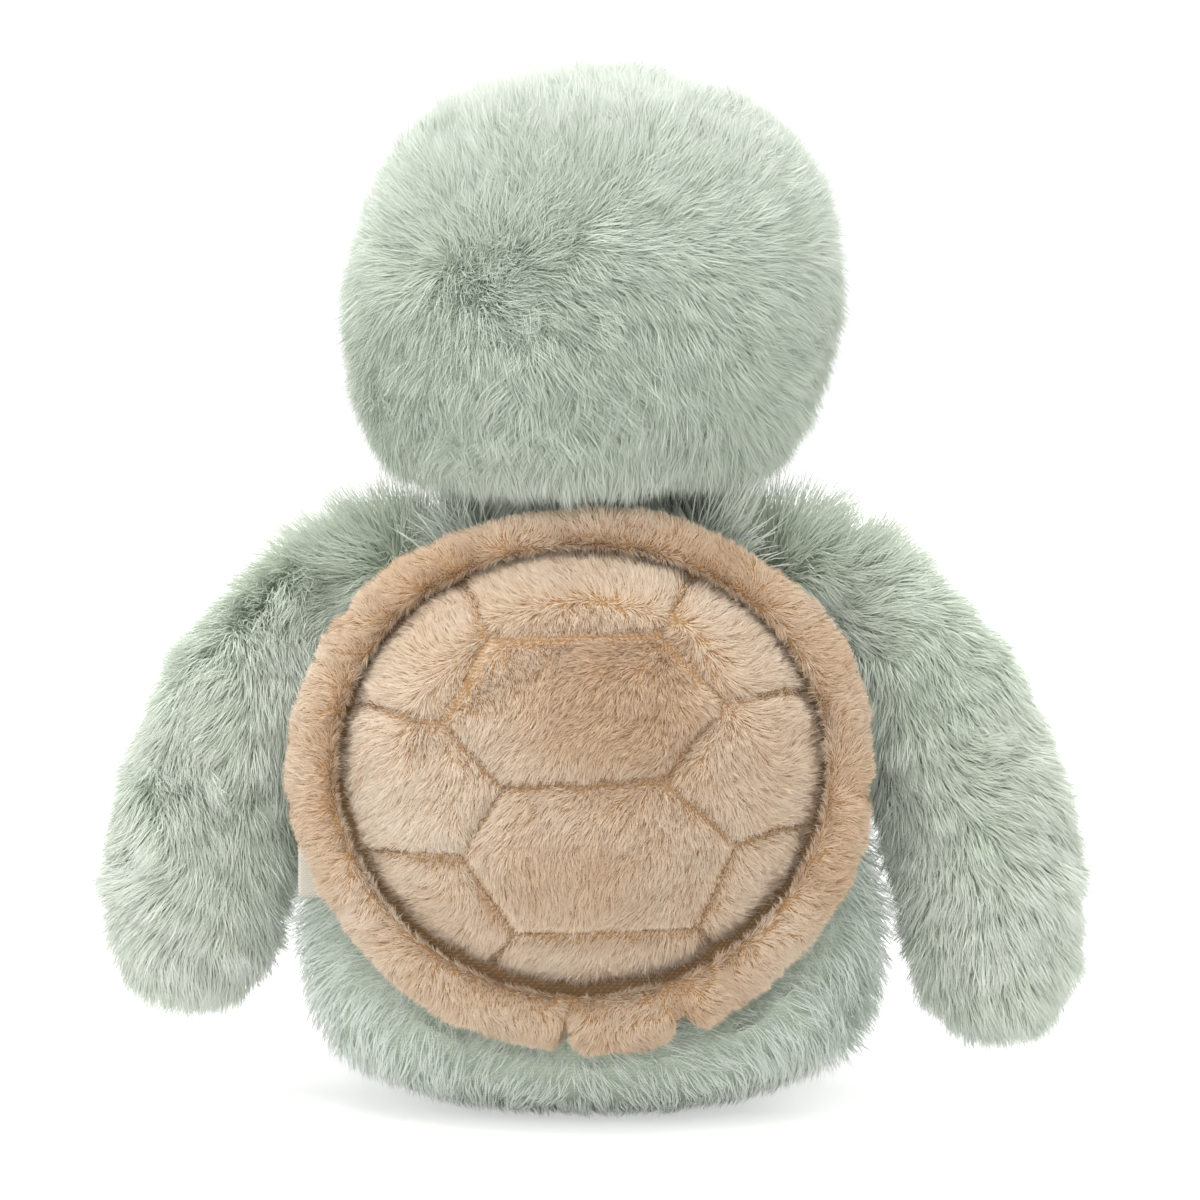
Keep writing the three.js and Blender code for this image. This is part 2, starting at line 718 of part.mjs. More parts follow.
function headStuffing() {
  const drawnIn = headPile + fillGap;
  const fill = solid(inset(headInsideForm, drawnIn)).add(solid(ball(neckBallRadius - drawnIn, neckMiddle)));
  const pockets = Object.values(sides).map((side) => solid(
    facingOut(pin(eyeWasherRadius + clearance, eyeFoot - clearance, overrun), side),
  ));
  return cutBy(fill.add(solid(inset(muzzleInsideForm, muzzlePile + fillGap))), pockets);
}

// A place on the muzzle's front, raised off its surface by a height
function onMuzzle(x, z, height) {
  const depth = muzzleHalfDepth * Math.sqrt(1 - (x / muzzleHalfWidth) ** 2 - (z / muzzleHalfHeight) ** 2);
  const facing = vector(x / muzzleHalfWidth ** 2, -depth / muzzleHalfDepth ** 2, z / muzzleHalfHeight ** 2);
  const point = vector(x, -headForward - muzzleForward - depth, muzzleRise + z);
  return point.addScaledVector(facing.normalize(), height);
}

function mouthStitch() {
  const route = mouthRouteShares.map((share) => onMuzzle(
    share * mouthHalfWidth, share * share * mouthRise - mouthDrop, clearance + threadRadius,
  ));
  const section = new THREE.Shape().absarc(0, 0, threadRadius, 0, 2 * Math.PI);
  const path = new THREE.CatmullRomCurve3(route);
  return solid(new THREE.ExtrudeGeometry(section, { steps: mouthSteps, extrudePath: path, curveSegments: threadSides }));
}

function nostril(side) {
  const middle = onMuzzle((side * nostrilSpacing) / 2, nostrilRise, clearance + nostrilRadius / 2);
  return solid(
    new THREE.SphereGeometry(nostrilRadius, ballSides, nostrilRings)
      .scale(1, 1 / 2, 1 / 2)
      .translate(middle.x, middle.y, middle.z),
  );
}

// Arms and legs

function armLimb(side) {
  const reachOut = armReachOut - side * armOutDifference;
  const reachDown = armReachDown - side * armDownDifference;
  const points = armSpineShares.map(([out, down]) => vector(
    side * (shoulderX + out * reachOut), shoulderY, shoulderZ - down * reachDown,
  ));
  return {
    curve: new THREE.CatmullRomCurve3(points),
    flatAxis: yAxis,
    radiusShares: armRadiusShares,
    halfWidth: armHalfWidth,
    halfThickness: armHalfThickness,
    pile: armPile,
    root: shoulderOf(side),
    rootRadius: shoulderBallRadius,
    inward: vector(-side, 0, 0),
    cutters: sweptCutters(torsoClearForm, shoulderOf(side), xAxis.clone().negate(), armSwingStops),
  };
}

function legLimb(side) {
  const drop = legHalfHeight - seatFlat - hipZ;
  const points = legSpineShares.map(([out, forward, down]) => vector(
    side * (hipX + out * legReachOut), hipY - forward * legReachForward, hipZ + down * drop,
  ));
  const torsoSpaces = sweptCutters(torsoClearForm, hipOf(side), xAxis.clone().negate(), legSwingStops);
  return {
    curve: new THREE.CatmullRomCurve3(points),
    flatAxis: zAxis,
    radiusShares: legRadiusShares,
    halfWidth: legHalfWidth,
    halfThickness: legHalfHeight,
    pile: legPile,
    root: hipOf(side),
    rootRadius: hipBallRadius,
    inward: yAxis,
    cutters: [...torsoSpaces, ground],
  };
}

function limbCover(limb) {
  const form = cutBy(solid(limbForm(limb, 0, limb.radiusShares, limbSides)), limb.cutters);
  const outer = form.add(solid(ball(limb.rootRadius, limb.root)));
  const inside = solid(limbForm(limb, limb.pile, coarse(limb.radiusShares), limbInsideSides))
    .add(solid(ball(limb.rootRadius - limb.pile, limb.root)));
  const hole = pin(limbHoleRadius, 0, 2 * limb.rootRadius)
    .applyQuaternion(new THREE.Quaternion().setFromUnitVectors(zAxis, limb.inward))
    .translate(limb.root.x, limb.root.y, limb.root.z);
  return cutBy(outer, [inside, solid(hole)]);
}

function limbStuffing(limb) {
  const drawnIn = limb.pile + fillGap;
  return solid(limbForm(limb, drawnIn, coarse(limb.radiusShares), limbInsideSides))
    .add(solid(ball(limb.rootRadius - drawnIn, limb.root)));
}

// The turtle

function pieceGroup(pieces) {
  const group = new THREE.Group();
  Object.entries(pieces).forEach(([name, [manifold, finish]]) => {
    const mesh = new THREE.Mesh(geometryOf(manifold), new THREE.MeshStandardMaterial(finish));
    mesh.name = name;
    group.add(mesh);
  });
  return group;
}

const torsoGroup = pieceGroup({
  body_back_cover: [bodyBackCover(), finishes.sageBody],
  belly_panel: [bellyPanel(), finishes.creamPile],
  body_stuffing: [bodyStuffing(), finishes.fibreFill],
  bean_pouch: [beanPouch(), finishes.backingCloth],
  pellet_fill: [pelletFill(), finishes.pellets],
  shell_dome_cover: [shellDomeCover(), finishes.beigePile],
  shell_stuffing: [shellStuffing(), finishes.fibreFill],
  shell_backing: [shellBacking(), finishes.backingCloth],
  shell_rim_cover: [shellRimCover(), finishes.beigePile],
  shell_rim_fill: [shellRimFill(), finishes.fibreFill],
  care_label: [careLabel(), finishes.ribbonCloth],
  neck_seam_ring: [solid(neckThread(0)), finishes.seamThread],
});

const headGroup = pieceGroup({
  head_cover: [headCover(), finishes.sagePile],
  muzzle_cover: [muzzleCover(), finishes.creamPile],
  head_stuffing: [headStuffing(), finishes.fibreFill],
  mouth_stitch: [mouthStitch(), finishes.faceThread],
});
headGroup.position.copy(neck);
headGroup.rotation.set(0, -radians(headTilt), radians(headTurnAtRest), 'ZYX');

const turtle = new THREE.Group();
turtle.add(torsoGroup, headGroup);
Object.entries(sides).forEach(([name, side]) => {
  const arm = armLimb(side);
  const leg = legLimb(side);
  headGroup.add(pieceGroup({
    [`${name}_eye`]: [eye(side), finishes.eyePlastic],
    [`${name}_eye_washer`]: [eyeWasher(side), finishes.washerPlastic],
    [`${name}_nostril_stitch`]: [nostril(side), finishes.faceThread],
  }));
  turtle.add(pieceGroup({
    [`${name}_arm_cover`]: [limbCover(arm), finishes.sagePile],
    [`${name}_arm_stuffing`]: [limbStuffing(arm), finishes.fibreFill],
    [`${name}_shoulder_ring`]: [solid(shoulderThread(side, 0)), finishes.seamThread],
    [`${name}_leg_cover`]: [limbCover(leg), finishes.sagePile],
    [`${name}_leg_stuffing`]: [limbStuffing(leg), finishes.fibreFill],
  }));
});

export default turtle;
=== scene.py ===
"""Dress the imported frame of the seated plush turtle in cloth, pile, thread and face.

Lengths are metres in the frame of the solids: +Z is up, the face looks along -Y, the shell
faces +Y and the toy's left is +X.
"""
import json
import logging
import math
from collections.abc import Callable, Iterator
from contextlib import contextmanager
from dataclasses import dataclass, field
from enum import Enum

import bpy
import numpy as np
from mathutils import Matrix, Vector
from mathutils.bvhtree import BVHTree
from mathutils.kdtree import KDTree

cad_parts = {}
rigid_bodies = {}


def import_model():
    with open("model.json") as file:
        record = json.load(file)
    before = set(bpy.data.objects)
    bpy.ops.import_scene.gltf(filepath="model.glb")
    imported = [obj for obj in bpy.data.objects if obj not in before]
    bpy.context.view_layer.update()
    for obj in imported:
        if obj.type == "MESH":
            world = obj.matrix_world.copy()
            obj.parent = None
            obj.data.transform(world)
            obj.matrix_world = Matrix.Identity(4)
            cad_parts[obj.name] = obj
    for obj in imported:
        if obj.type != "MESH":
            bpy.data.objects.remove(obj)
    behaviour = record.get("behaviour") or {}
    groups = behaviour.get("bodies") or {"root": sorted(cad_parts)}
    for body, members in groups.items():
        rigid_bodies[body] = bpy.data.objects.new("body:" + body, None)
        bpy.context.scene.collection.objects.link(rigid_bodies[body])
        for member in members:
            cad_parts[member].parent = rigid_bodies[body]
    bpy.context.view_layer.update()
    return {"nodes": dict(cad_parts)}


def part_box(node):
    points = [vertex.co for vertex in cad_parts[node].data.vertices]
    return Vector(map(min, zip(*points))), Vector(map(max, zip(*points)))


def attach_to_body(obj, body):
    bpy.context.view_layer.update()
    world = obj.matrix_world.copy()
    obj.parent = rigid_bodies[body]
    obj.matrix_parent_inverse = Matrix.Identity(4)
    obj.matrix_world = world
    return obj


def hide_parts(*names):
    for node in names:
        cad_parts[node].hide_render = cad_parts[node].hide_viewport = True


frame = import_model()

LOG = logging.getLogger("turtle")
MM = 0.001
TINY = 1e-9
LEAST_HELD = 0.01
PILE_UV = "OFBake"
SEED = 20417
RIGHT_SEED = 20
STRAIGHT = (0.0, 1.0)
BENT = (0.0, 0.5, 1.0)
TAPER = (1.0, 0.66)
DOWN = np.array([0.0, 0.0, -1.0])
BAND_SCALE = 0.314
PILE_STOPS = (0.0, 0.45, 1.0)
WHITE = (1, 1, 1, 1)
CLOTH_FRAMES = 20
CLOTH_RUN = {"quality": 6, "mass": 0.25, "tension_stiffness": 12, "compression_stiffness": 12,
             "shear_stiffness": 6, "bending_stiffness": 0.6, "use_pressure": True}

Points = np.ndarray
Values = np.ndarray
FieldOf = Callable[[Points], Values]
Place = tuple[float, float, float]
Band = tuple[float, float]
Piece = bpy.types.Object
Tree = bpy.types.NodeTree
Socket = bpy.types.NodeSocket


class Side(Enum):
    """The toy's own left and right, as the sign of X."""

    LEFT = 1
    RIGHT = -1

    @property
    def word(self) -> str:
        """The side as it stands in the nodes' names."""
        return self.name.lower()


# Shader tools

def linear(code: str) -> tuple[float, float, float, float]:
    """Turn an sRGB hex colour into linear values.

    Args:
        code: The colour, such as "#C5D0C5".

    Returns:
        Red, green, blue and an alpha of one.
    """
    shares = [int(code[start:start + 2], 16) / 255 for start in (1, 3, 5)]
    red, green, blue = (s / 12.92 if s <= 0.04045 else ((s + 0.055) / 1.055) ** 2.4 for s in shares)
    return red, green, blue, 1.0


def put(target: object, **values: object) -> None:
    """Set several properties of one thing."""
    for name, value in values.items():
        setattr(target, name, value)


def feed(tree: Tree, node: bpy.types.Node, inputs: dict) -> None:
    """Give a node its inputs.

    Args:
        tree: The node tree.
        node: The node.
        inputs: A value, or the output socket to link, for each input's name or number.
    """
    for place, value in inputs.items():
        if isinstance(value, Socket):
            tree.links.new(value, node.inputs[place])
        else:
            node.inputs[place].default_value = value


def add_node(tree: Tree, kind: str, inputs: dict | None = None, **settings: object) -> bpy.types.Node:
    """Add a shader node with its settings, values and links.

    Args:
        tree: The node tree.
        kind: The node's type, without the ShaderNode that every type starts with.
        inputs: A value, or the output socket to link, for each input's name or number.
        settings: The node's own properties.

    Returns:
        The new node.
    """
    node = tree.nodes.new(f"ShaderNode{kind}")
    put(node, **settings)
    feed(tree, node, inputs or {})
    return node


def combine(tree: Tree, operation: str, first: Socket, second: Socket) -> Socket:
    """Work out one value from two."""
    return add_node(tree, "Math", {0: first, 1: second}, operation=operation).outputs[0]


def bands(tree: Tree, place: Socket, pitch: float, way: str, **inputs: float) -> Socket:
    """Draw a texture of bands at a pitch, along a way."""
    return add_node(tree, "TexWave", {"Vector": place, "Scale": BAND_SCALE / pitch, **inputs},
                    wave_type="BANDS", bands_direction=way).outputs["Fac"]


def noise(tree: Tree, place: Socket, scale: float, detail: float) -> Socket:
    """Draw a texture of soft noise."""
    return add_node(tree, "TexNoise", {"Vector": place, "Scale": scale, "Detail": detail}).outputs["Fac"]


def bump(tree: Tree, height: Socket, strength: float, distance: float) -> Socket:
    """Turn a height into a normal."""
    inputs = {"Height": height, "Strength": strength, "Distance": distance}
    return add_node(tree, "Bump", inputs).outputs["Normal"]


def colour_ramp(tree: Tree, driver: Socket, *stops: tuple[float, str]) -> Socket:
    """Turn a value into a colour along a few stops.

    Args:
        tree: The material's node tree.
        driver: The socket that gives the value.
        stops: Places from 0 to 1 with their hex colours.

    Returns:
        The colour socket.
    """
    node = add_node(tree, "ValToRGB", {"Fac": driver})
    elements = node.color_ramp.elements
    while len(elements) < len(stops):
        elements.new(0.5)
    for element, (place, code) in zip(elements, stops):
        put(element, position=place, color=linear(code))
    return node.outputs["Color"]


# Mesh tools

def deselect_all() -> None:
    """Leave every object unselected, out of edit mode."""
    if bpy.context.object and bpy.context.object.mode != "OBJECT":
        bpy.ops.object.mode_set(mode="OBJECT")
    bpy.ops.object.select_all(action="DESELECT")


def take(piece: Piece) -> None:
    """Select one piece alone and make it active."""
    deselect_all()
    piece.select_set(True)
    bpy.context.view_layer.objects.active = piece


@contextmanager
def editing(select: str | None = "SELECT") -> Iterator[None]:
    """Edit the active mesh.

    Args:
        select: Whether all or none of it is selected first, or nothing to keep what is selected.

    Yields:
        Nothing, in edit mode.
    """
    bpy.ops.object.mode_set(mode="EDIT")
    if select:
        bpy.ops.mesh.select_all(action=select)
    yield
    bpy.ops.object.mode_set(mode="OBJECT")


def apply_modifier(piece: Piece, kind: str, **settings: object) -> None:
    """Add a modifier with its settings and apply it.

    Args:
        piece: The object to change.
        kind: The modifier's type name.
        settings: The modifier's own properties.
    """
    take(piece)
    modifier = piece.modifiers.new(kind.lower(), kind)
    put(modifier, **settings)
    bpy.ops.object.modifier_apply(modifier=modifier.name)


def named(name: str) -> Piece:
    """Name the piece that was just made."""
    piece = bpy.context.object
    piece.name = piece.data.name = name
    return piece


def add_piece(name: str, data: bpy.types.ID) -> Piece:
    """Put a mesh, a lamp or a camera into the scene."""
    piece = bpy.data.objects.new(name, data)
    bpy.context.collection.objects.link(piece)
    return piece


def attach(piece: Piece, finish: "Finish", body: str, slot: str, *nodes: str) -> None:
    """Give a piece its finish and its body, and hide the nodes that it replaces.

    Args:
        piece: The piece.
        finish: What it is made of.
        body: The body that it rides on.
        slot: Not used.
        nodes: The nodes that it replaces.
    """
    piece.data.materials.append(finish.material())
    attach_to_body(piece, body)
    if nodes:
        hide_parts(*nodes)


def read(items: bpy.types.bpy_prop_collection, name: str, width: int = 3) -> Values:
    """Read one property of a mesh's vertices or faces, as rows."""
    flat = np.empty(len(items) * width, dtype=np.float32)
    items.foreach_get(name, flat)
    return flat.reshape(-1, width).astype(float)


def mesh_points(mesh: bpy.types.Mesh) -> Points:
    """Give a mesh's vertices as an array of rows."""
    return read(mesh.vertices, "co")


def set_points(mesh: bpy.types.Mesh, points: Points) -> None:
    """Move a mesh's vertices to the rows of an array."""
    mesh.vertices.foreach_set("co", points.astype(np.float32).ravel())
    mesh.update()


# Fields

def unit(vectors: Values) -> Values:
    """Scale rows to length one, leaving near-zero rows short."""
    return vectors / np.maximum(np.linalg.norm(vectors, axis=-1, keepdims=True), TINY)


def distance(points: Points, centre: Place) -> Values:
    """Give each point's distance from a centre."""
    return np.linalg.norm(points - np.array(centre), axis=1)


def soft_step(values: Values, low: float, high: float) -> Values:
    """Rise smoothly from 0 at low to 1 at high."""
    share = np.clip((values - low) / (high - low), 0.0, 1.0)
    return share * share * (3 - 2 * share)


def soft_drop(values: Values, low: float, high: float) -> Values:
    """Fall smoothly from 1 at low to 0 at high."""
    return 1 - soft_step(values, low, high)


def at_least(low: float, share: Values) -> Values:
    """Give low where the share is 0 and 1 where it is 1."""
    return low + (1 - low) * share


def nearest_of(spots: Points, points: Points) -> Values:
    """Find the spot nearest to each point.

    Args:
        spots: The spots to choose from.
        points: The points.

    Returns:
        The number of each point's spot.
    """
    tree = KDTree(len(spots))
    for number, spot in enumerate(spots):
        tree.insert(spot, number)
    tree.balance()
    return np.array([tree.find(point)[1] for point in points])


def level(value: float) -> FieldOf:
    """Give the same value everywhere."""
    return lambda points: np.full(len(points), value)


def away_from(point: Place) -> FieldOf:
    """Comb away from a point."""
    return lambda points: unit(points - np.array(point))


def along_way(way: Place) -> FieldOf:
    """Comb one way all over."""
    return lambda points: np.tile(np.array(way, dtype=float), (len(points), 1))


def nearer(first: str, second: str, favour: float = 0.0) -> FieldOf:
    """Say where one cover lies nearer than another.

    Args:
        first: The node that gives 1.
        second: The node that gives 0.
        favour: The distance by which the first node may be further and still win.

    Returns:
        A field of ones and zeros.
    """
    meshes = [frame["nodes"][name].data for name in (first, second)]
    one, two = (BVHTree.FromPolygons([v.co for v in mesh.vertices], [p.vertices for p in mesh.polygons])
                for mesh in meshes)

    def field_at(points: Points) -> Values:
        """Give 1 where the first cover is nearer."""
        return np.array([float(one.find_nearest(p)[3] < two.find_nearest(p)[3] + favour) for p in points])

    return field_at


class Ripple:
    """A smooth field of about -1 to 1, made of a few seeded waves."""

    WAVES = 14
    STRETCH = (0.55, 1.6)
    HEIGHT = 0.7

    def __init__(self, seed: int, wavelength: float) -> None:
        """Draw the waves.

        Args:
            seed: The seed of the draw.
            wavelength: The field's typical length from hill to hill.
        """
        draw = np.random.default_rng(seed)
        turns = unit(draw.normal(size=(self.WAVES, 3)))
        stretch = draw.uniform(*self.STRETCH, size=(self.WAVES, 1))
        self.vectors = turns * stretch * 2 * math.pi / wavelength
        self.phases = draw.uniform(0, 2 * math.pi, size=self.WAVES)

    def at(self, points: Points) -> Values:
        """Give the field's value at each point."""
        waves = np.sin(points @ self.vectors.T + self.phases)
        return waves.sum(axis=1) / math.sqrt(self.WAVES / 2) * self.HEIGHT


# Finishes

@dataclass(frozen=True)
class Finish:
    """A material made of nodes."""

    name: str

    def sockets(self, tree: Tree) -> dict:
        """Give the shader's inputs."""
        return {}

    def material(self) -> bpy.types.Material:
        """Build the material."""
        material = bpy.data.materials.new(self.name)
        material.use_nodes = True
        tree = material.node_tree
        feed(tree, tree.nodes["Principled BSDF"], self.sockets(tree))
        return material


@dataclass(frozen=True)
class PileFinish(Finish):
    """Plush pile: polyester hairs, darker at the root where they shade each other.

    A blade's U holds its own tone and its V runs from root to tip.
    """

    shade: tuple[str, str, str]
    light: tuple[str, str, str]

    def sockets(self, tree: Tree) -> dict:
        """Blend a darker and a lighter coat by the blade's tone."""
        place = add_node(tree, "UVMap", uv_map=PILE_UV)
        parts = add_node(tree, "SeparateXYZ", {"Vector": place.outputs["UV"]}).outputs
        shade, light = (colour_ramp(tree, parts["Y"], *zip(PILE_STOPS, codes))
                        for codes in (self.shade, self.light))
        colour = add_node(tree, "Mix", {0: parts["X"], 6: shade, 7: light}, data_type="RGBA").outputs[2]
        return {"Base Color": colour, "Roughness": 0.8, "Sheen Weight": 0.15, "Sheen Roughness": 0.6,
                "Specular IOR Level": 0.25}


@dataclass(frozen=True)
class ClothFinish(Finish):
    """Knitted or woven backing cloth: fine crossed threads with a soft bump."""

    thread: str
    gap: str
    pitch: float = 0.9 * MM
    roughness: float = 0.9

    def sockets(self, tree: Tree) -> dict:
        """Cross two sets of bands and wear them a little."""
        place = add_node(tree, "TexCoord").outputs["Object"]
        weave = combine(tree, "MULTIPLY", *(bands(tree, place, self.pitch, way, Distortion=0.6)
                                            for way in ("DIAGONAL", "Z")))
        worn = combine(tree, "MULTIPLY", weave, noise(tree, place, scale=60.0, detail=3.0))
        return {"Base Color": colour_ramp(tree, worn, (0.0, self.gap), (0.45, self.thread)),
                "Normal": bump(tree, weave, strength=0.4, distance=0.2 * MM),
                "Roughness": self.roughness, "Specular IOR Level": 0.2}


@dataclass(frozen=True)
class ThreadFinish(Finish):
    """Twisted sewing thread: fine slanting plies, with a painted highlight on their crowns and painted shade
    between them.
    """

    pale: str
    deep: str
    ply: float = 0.8 * MM

    def sockets(self, tree: Tree) -> dict:
        """Draw narrow slanting bands, paler on the crowns as a painted highlight."""
        place = add_node(tree, "TexCoord").outputs["Object"]
        plies = bands(tree, place, self.ply, "DIAGONAL", Distortion=1.5, Detail=1.0)
        return {"Base Color": colour_ramp(tree, plies, (0.15, self.deep), (0.8, self.pale)),
                "Normal": bump(tree, plies, strength=0.5, distance=0.15 * MM),
                "Roughness": 0.6, "Sheen Weight": 0.2, "Specular IOR Level": 0.35}


@dataclass(frozen=True)
class PlasticFinish(Finish):
    """Moulded plastic: an even body colour with faint mould flow and hairline scuffs."""

    body: str
    flow: str
    roughness: float
    coat: float = 0.0

    def sockets(self, tree: Tree) -> dict:
        """Vary the colour and the gloss a little."""
        place = add_node(tree, "TexCoord").outputs["Object"]
        rough = add_node(tree, "MapRange", {"Value": noise(tree, place, scale=1500.0, detail=2.0),
                                            "To Min": self.roughness * 0.7, "To Max": self.roughness * 1.4})
        flow = noise(tree, place, scale=220.0, detail=3.0)
        return {"Base Color": colour_ramp(tree, flow, (0.3, self.body), (0.75, self.flow)),
                "Roughness": rough.outputs["Result"], "Coat Weight": self.coat, "Coat Roughness": 0.05}


SAGE_HEAD = PileFinish("long_sage_pile", ("#CAD4C5", "#D8E2D3", "#E2EADE"), ("#DDE6D8", "#F1F7ED", "#FCFFFA"))
SAGE_LIMB = PileFinish("long_sage_limb_pile", ("#CCD6C5", "#DCE6D5", "#E8F0E3"),
                       ("#E1EADB", "#F4FAEF", "#FDFFFB"))
SAGE_BODY = PileFinish("short_sage_pile", ("#C8D2C7", "#DBE4DA", "#E8EFE7"),
                       ("#DFE7DE", "#F1F7F0", "#FBFEFA"))
BEIGE = PileFinish("short_beige_pile", ("#CFAE8B", "#E2C6A6", "#ECD3B5"), ("#EAD3B6", "#F8E9D4", "#FEF9EE"))
CREAM = PileFinish("short_cream_pile", ("#E6DCCB", "#F2EADD", "#F8F3EA"), ("#EFE7D9", "#FBF7EF", "#FFFDF9"))
SAGE_KNIT = ClothFinish("sage_knit_backing", "#CDD6C8", "#B5C0AF")
# Real beige knit, darkened to paint the shade in the gap between dome and rim and in the quilting valleys.
SHADE_DARKENED_BACKING_KNIT = ClothFinish("beige_knit_backing", "#C7A681", "#A5825B")
CREAM_KNIT = ClothFinish("cream_knit_backing", "#EADFCC", "#CFC0A6")
RIBBON = ClothFinish("woven_satin_ribbon", "#F6F2E8", "#DAD2C2", pitch=0.5 * MM, roughness=0.55)
SEAM_THREAD = ThreadFinish("sage_sewing_thread", "#C2CDBD", "#97A391")
QUILT_THREAD = ThreadFinish("tan_quilting_thread", "#BA9B79", "#8F7150")
FACE_THREAD = ThreadFinish("brown_embroidery_thread", "#7B6656", "#4A3B30")
EYE = PlasticFinish("polished_brown_eye", "#1B120E", "#2A1C15", 0.12, coat=0.2)
WASHER = PlasticFinish("moulded_washer", "#E8E8E3", "#D9D9D3", 0.45)


# Cloth forms

@dataclass
class PaddedForm:
    """A stuffed cloth form, rounded and blown up a little from the solids that it stands for."""

    name: str
    sources: tuple[str, ...]
    voxel: float
    draw_in: float
    smooth: int
    cap: float = 2 * MM
    pins: tuple[tuple[Place, float], ...] = ()
    pin_fade: float = 1.4

    def build(self) -> Piece:
        """Join, close, simulate and round the form.

        Returns:
            The finished cloth mesh.
        """
        piece = self.joined()
        apply_modifier(piece, "REMESH", mode="VOXEL", voxel_size=self.voxel, use_smooth_shade=True)
        self.keep_outside(piece)
        with editing():
            bpy.ops.transform.shrink_fatten(value=-self.draw_in)
        apply_modifier(piece, "SMOOTH", factor=0.5, iterations=self.smooth)
        inflate(piece, self.pinned(mesh_points(piece.data)), self.cap)
        apply_modifier(piece, "SUBSURF", levels=1, render_levels=1)
        bpy.ops.object.shade_smooth()
        return piece

    def joined(self) -> Piece:
        """Join copies of the source solids.

        Returns:
            One mesh with merged corners and no material.
        """
        copies = [add_piece(self.name, frame["nodes"][source].data.copy()) for source in self.sources]
        take(copies[0])
        for other in copies[1:]:
            other.select_set(True)
        bpy.ops.object.join()
        piece = named(self.name)
        piece.data.materials.clear()
        with editing():
            bpy.ops.mesh.remove_doubles(threshold=0.01 * MM)
        return piece

    @staticmethod
    def keep_outside(piece: Piece) -> None:
        """Delete the closed pockets that a remesh leaves inside.

        Args:
            piece: The active mesh.
        """
        with editing("DESELECT"):
            bpy.ops.mesh.select_mode(type="VERT")
        piece.data.vertices[int(mesh_points(piece.data)[:, 2].argmax())].select = True
        with editing(None):
            bpy.ops.mesh.select_linked()
            bpy.ops.mesh.select_all(action="INVERT")
            bpy.ops.mesh.delete(type="VERT")

    def pinned(self, points: Points) -> Values:
        """Say how firmly each vertex is held where the form is sewn on.

        Args:
            points: The vertices.

        Returns:
            From 0, free, to 1, held.
        """
        held = np.zeros(len(points))
        for centre, reach in self.pins:
            held = np.maximum(held, soft_drop(distance(points, centre), reach, reach * self.pin_fade))
        return held


@dataclass(frozen=True)
class Dent:
    """A soft hollow in a stuffed form."""

    centre: Place
    reach: float
    depth: float

    def share(self, points: Points) -> Values:
        """Say how much of the hollow's depth each point has."""
        return np.exp(-(distance(points, self.centre) / self.reach) ** 2)

    def press(self, piece: Piece) -> None:
        """Press the hollow into a cloth mesh."""
        points = mesh_points(piece.data)
        deep = (self.share(points) * self.depth)[:, None]
        set_points(piece.data, points - read(piece.data.vertices, "normal") * deep)


def inflate(piece: Piece, held: Values, cap: float, pressure: float = 4.0) -> None:
    """Run the cloth simulation on a piece and keep its result.

    Args:
        piece: The cloth mesh.
        held: How firmly each vertex is held, from 0 to 1.
        cap: The furthest that a vertex may move.
        pressure: The air pressure inside.
    """
    before = mesh_points(piece.data)
    take(piece)
    modifier = piece.modifiers.new("cloth", "CLOTH")
    settings = modifier.settings
    put(settings, uniform_pressure_force=pressure, **CLOTH_RUN)
    settings.effector_weights.gravity = 0
    put(modifier.point_cache, frame_start=1, frame_end=CLOTH_FRAMES)
    if held.max() > 0:
        group = piece.vertex_groups.new(name="held")
        for index in np.nonzero(held > LEAST_HELD)[0]:
            group.add([int(index)], float(held[index]), "REPLACE")
        settings.vertex_group_mass = group.name
    for step in range(1, CLOTH_FRAMES + 1):
        bpy.context.scene.frame_set(step)
    bpy.ops.object.modifier_apply(modifier=modifier.name)
    bpy.context.scene.frame_set(1)
    move = mesh_points(piece.data) - before
    far = np.linalg.norm(move, axis=1, keepdims=True)
    set_points(piece.data, before + move * np.minimum(1.0, cap / np.maximum(far, TINY)))
    piece.vertex_groups.clear()


def dress(piece: Piece, finish: ClothFinish, body: str, slot: str, fill: float, *nodes: str) -> None:
    """Give a padded form its cloth, its body and the nodes that it stands for.

    Args:
        piece: The padded form.
        finish: Its cloth.
        body: The body that it rides on.
        slot: Not used.
        fill: Not used.
        nodes: The nodes that it replaces.
    """
    attach(piece, finish, body, slot, *nodes)
    LOG.info("%s: %d faces", piece.name, len(piece.data.polygons))


def back_in_cream(piece: Piece, panel: FieldOf) -> None:
    """Give a padded form cream knit backing where its cream panel lies.

    Args:
        piece: The padded form.
        panel: 1 where the cream panel lies.
    """
    piece.data.materials.append(CREAM_KNIT.material())
    share = panel(read(piece.data.polygons, "center"))
    piece.data.polygons.foreach_set("material_index", (share > 0.5).astype(np.int32))
    piece.data.update()


def closing_thread(node: str, body: str, radius: float, lean: float) -> None:
    """Lay the closing thread of a joint round its seam, under the pile.

    Args:
        node: The solid ring that it stands for.
        body: The body that it rides on.
        radius: The thread ring's radius.
        lean: The ring's turn about the Y axis.
    """
    deselect_all()
    middle = np.array(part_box(node)).mean(axis=0)
    bpy.ops.mesh.primitive_torus_add(major_segments=72, minor_segments=10, major_radius=radius,
                                     minor_radius=0.7 * MM, location=middle, rotation=(0, lean, 0))
    thread = named(node.replace("ring", "thread"))
    bpy.ops.object.transform_apply(location=True, rotation=True, scale=True)
    bpy.ops.object.shade_smooth()
    attach(thread, SEAM_THREAD, body, "seam_thread", node)


# Pile

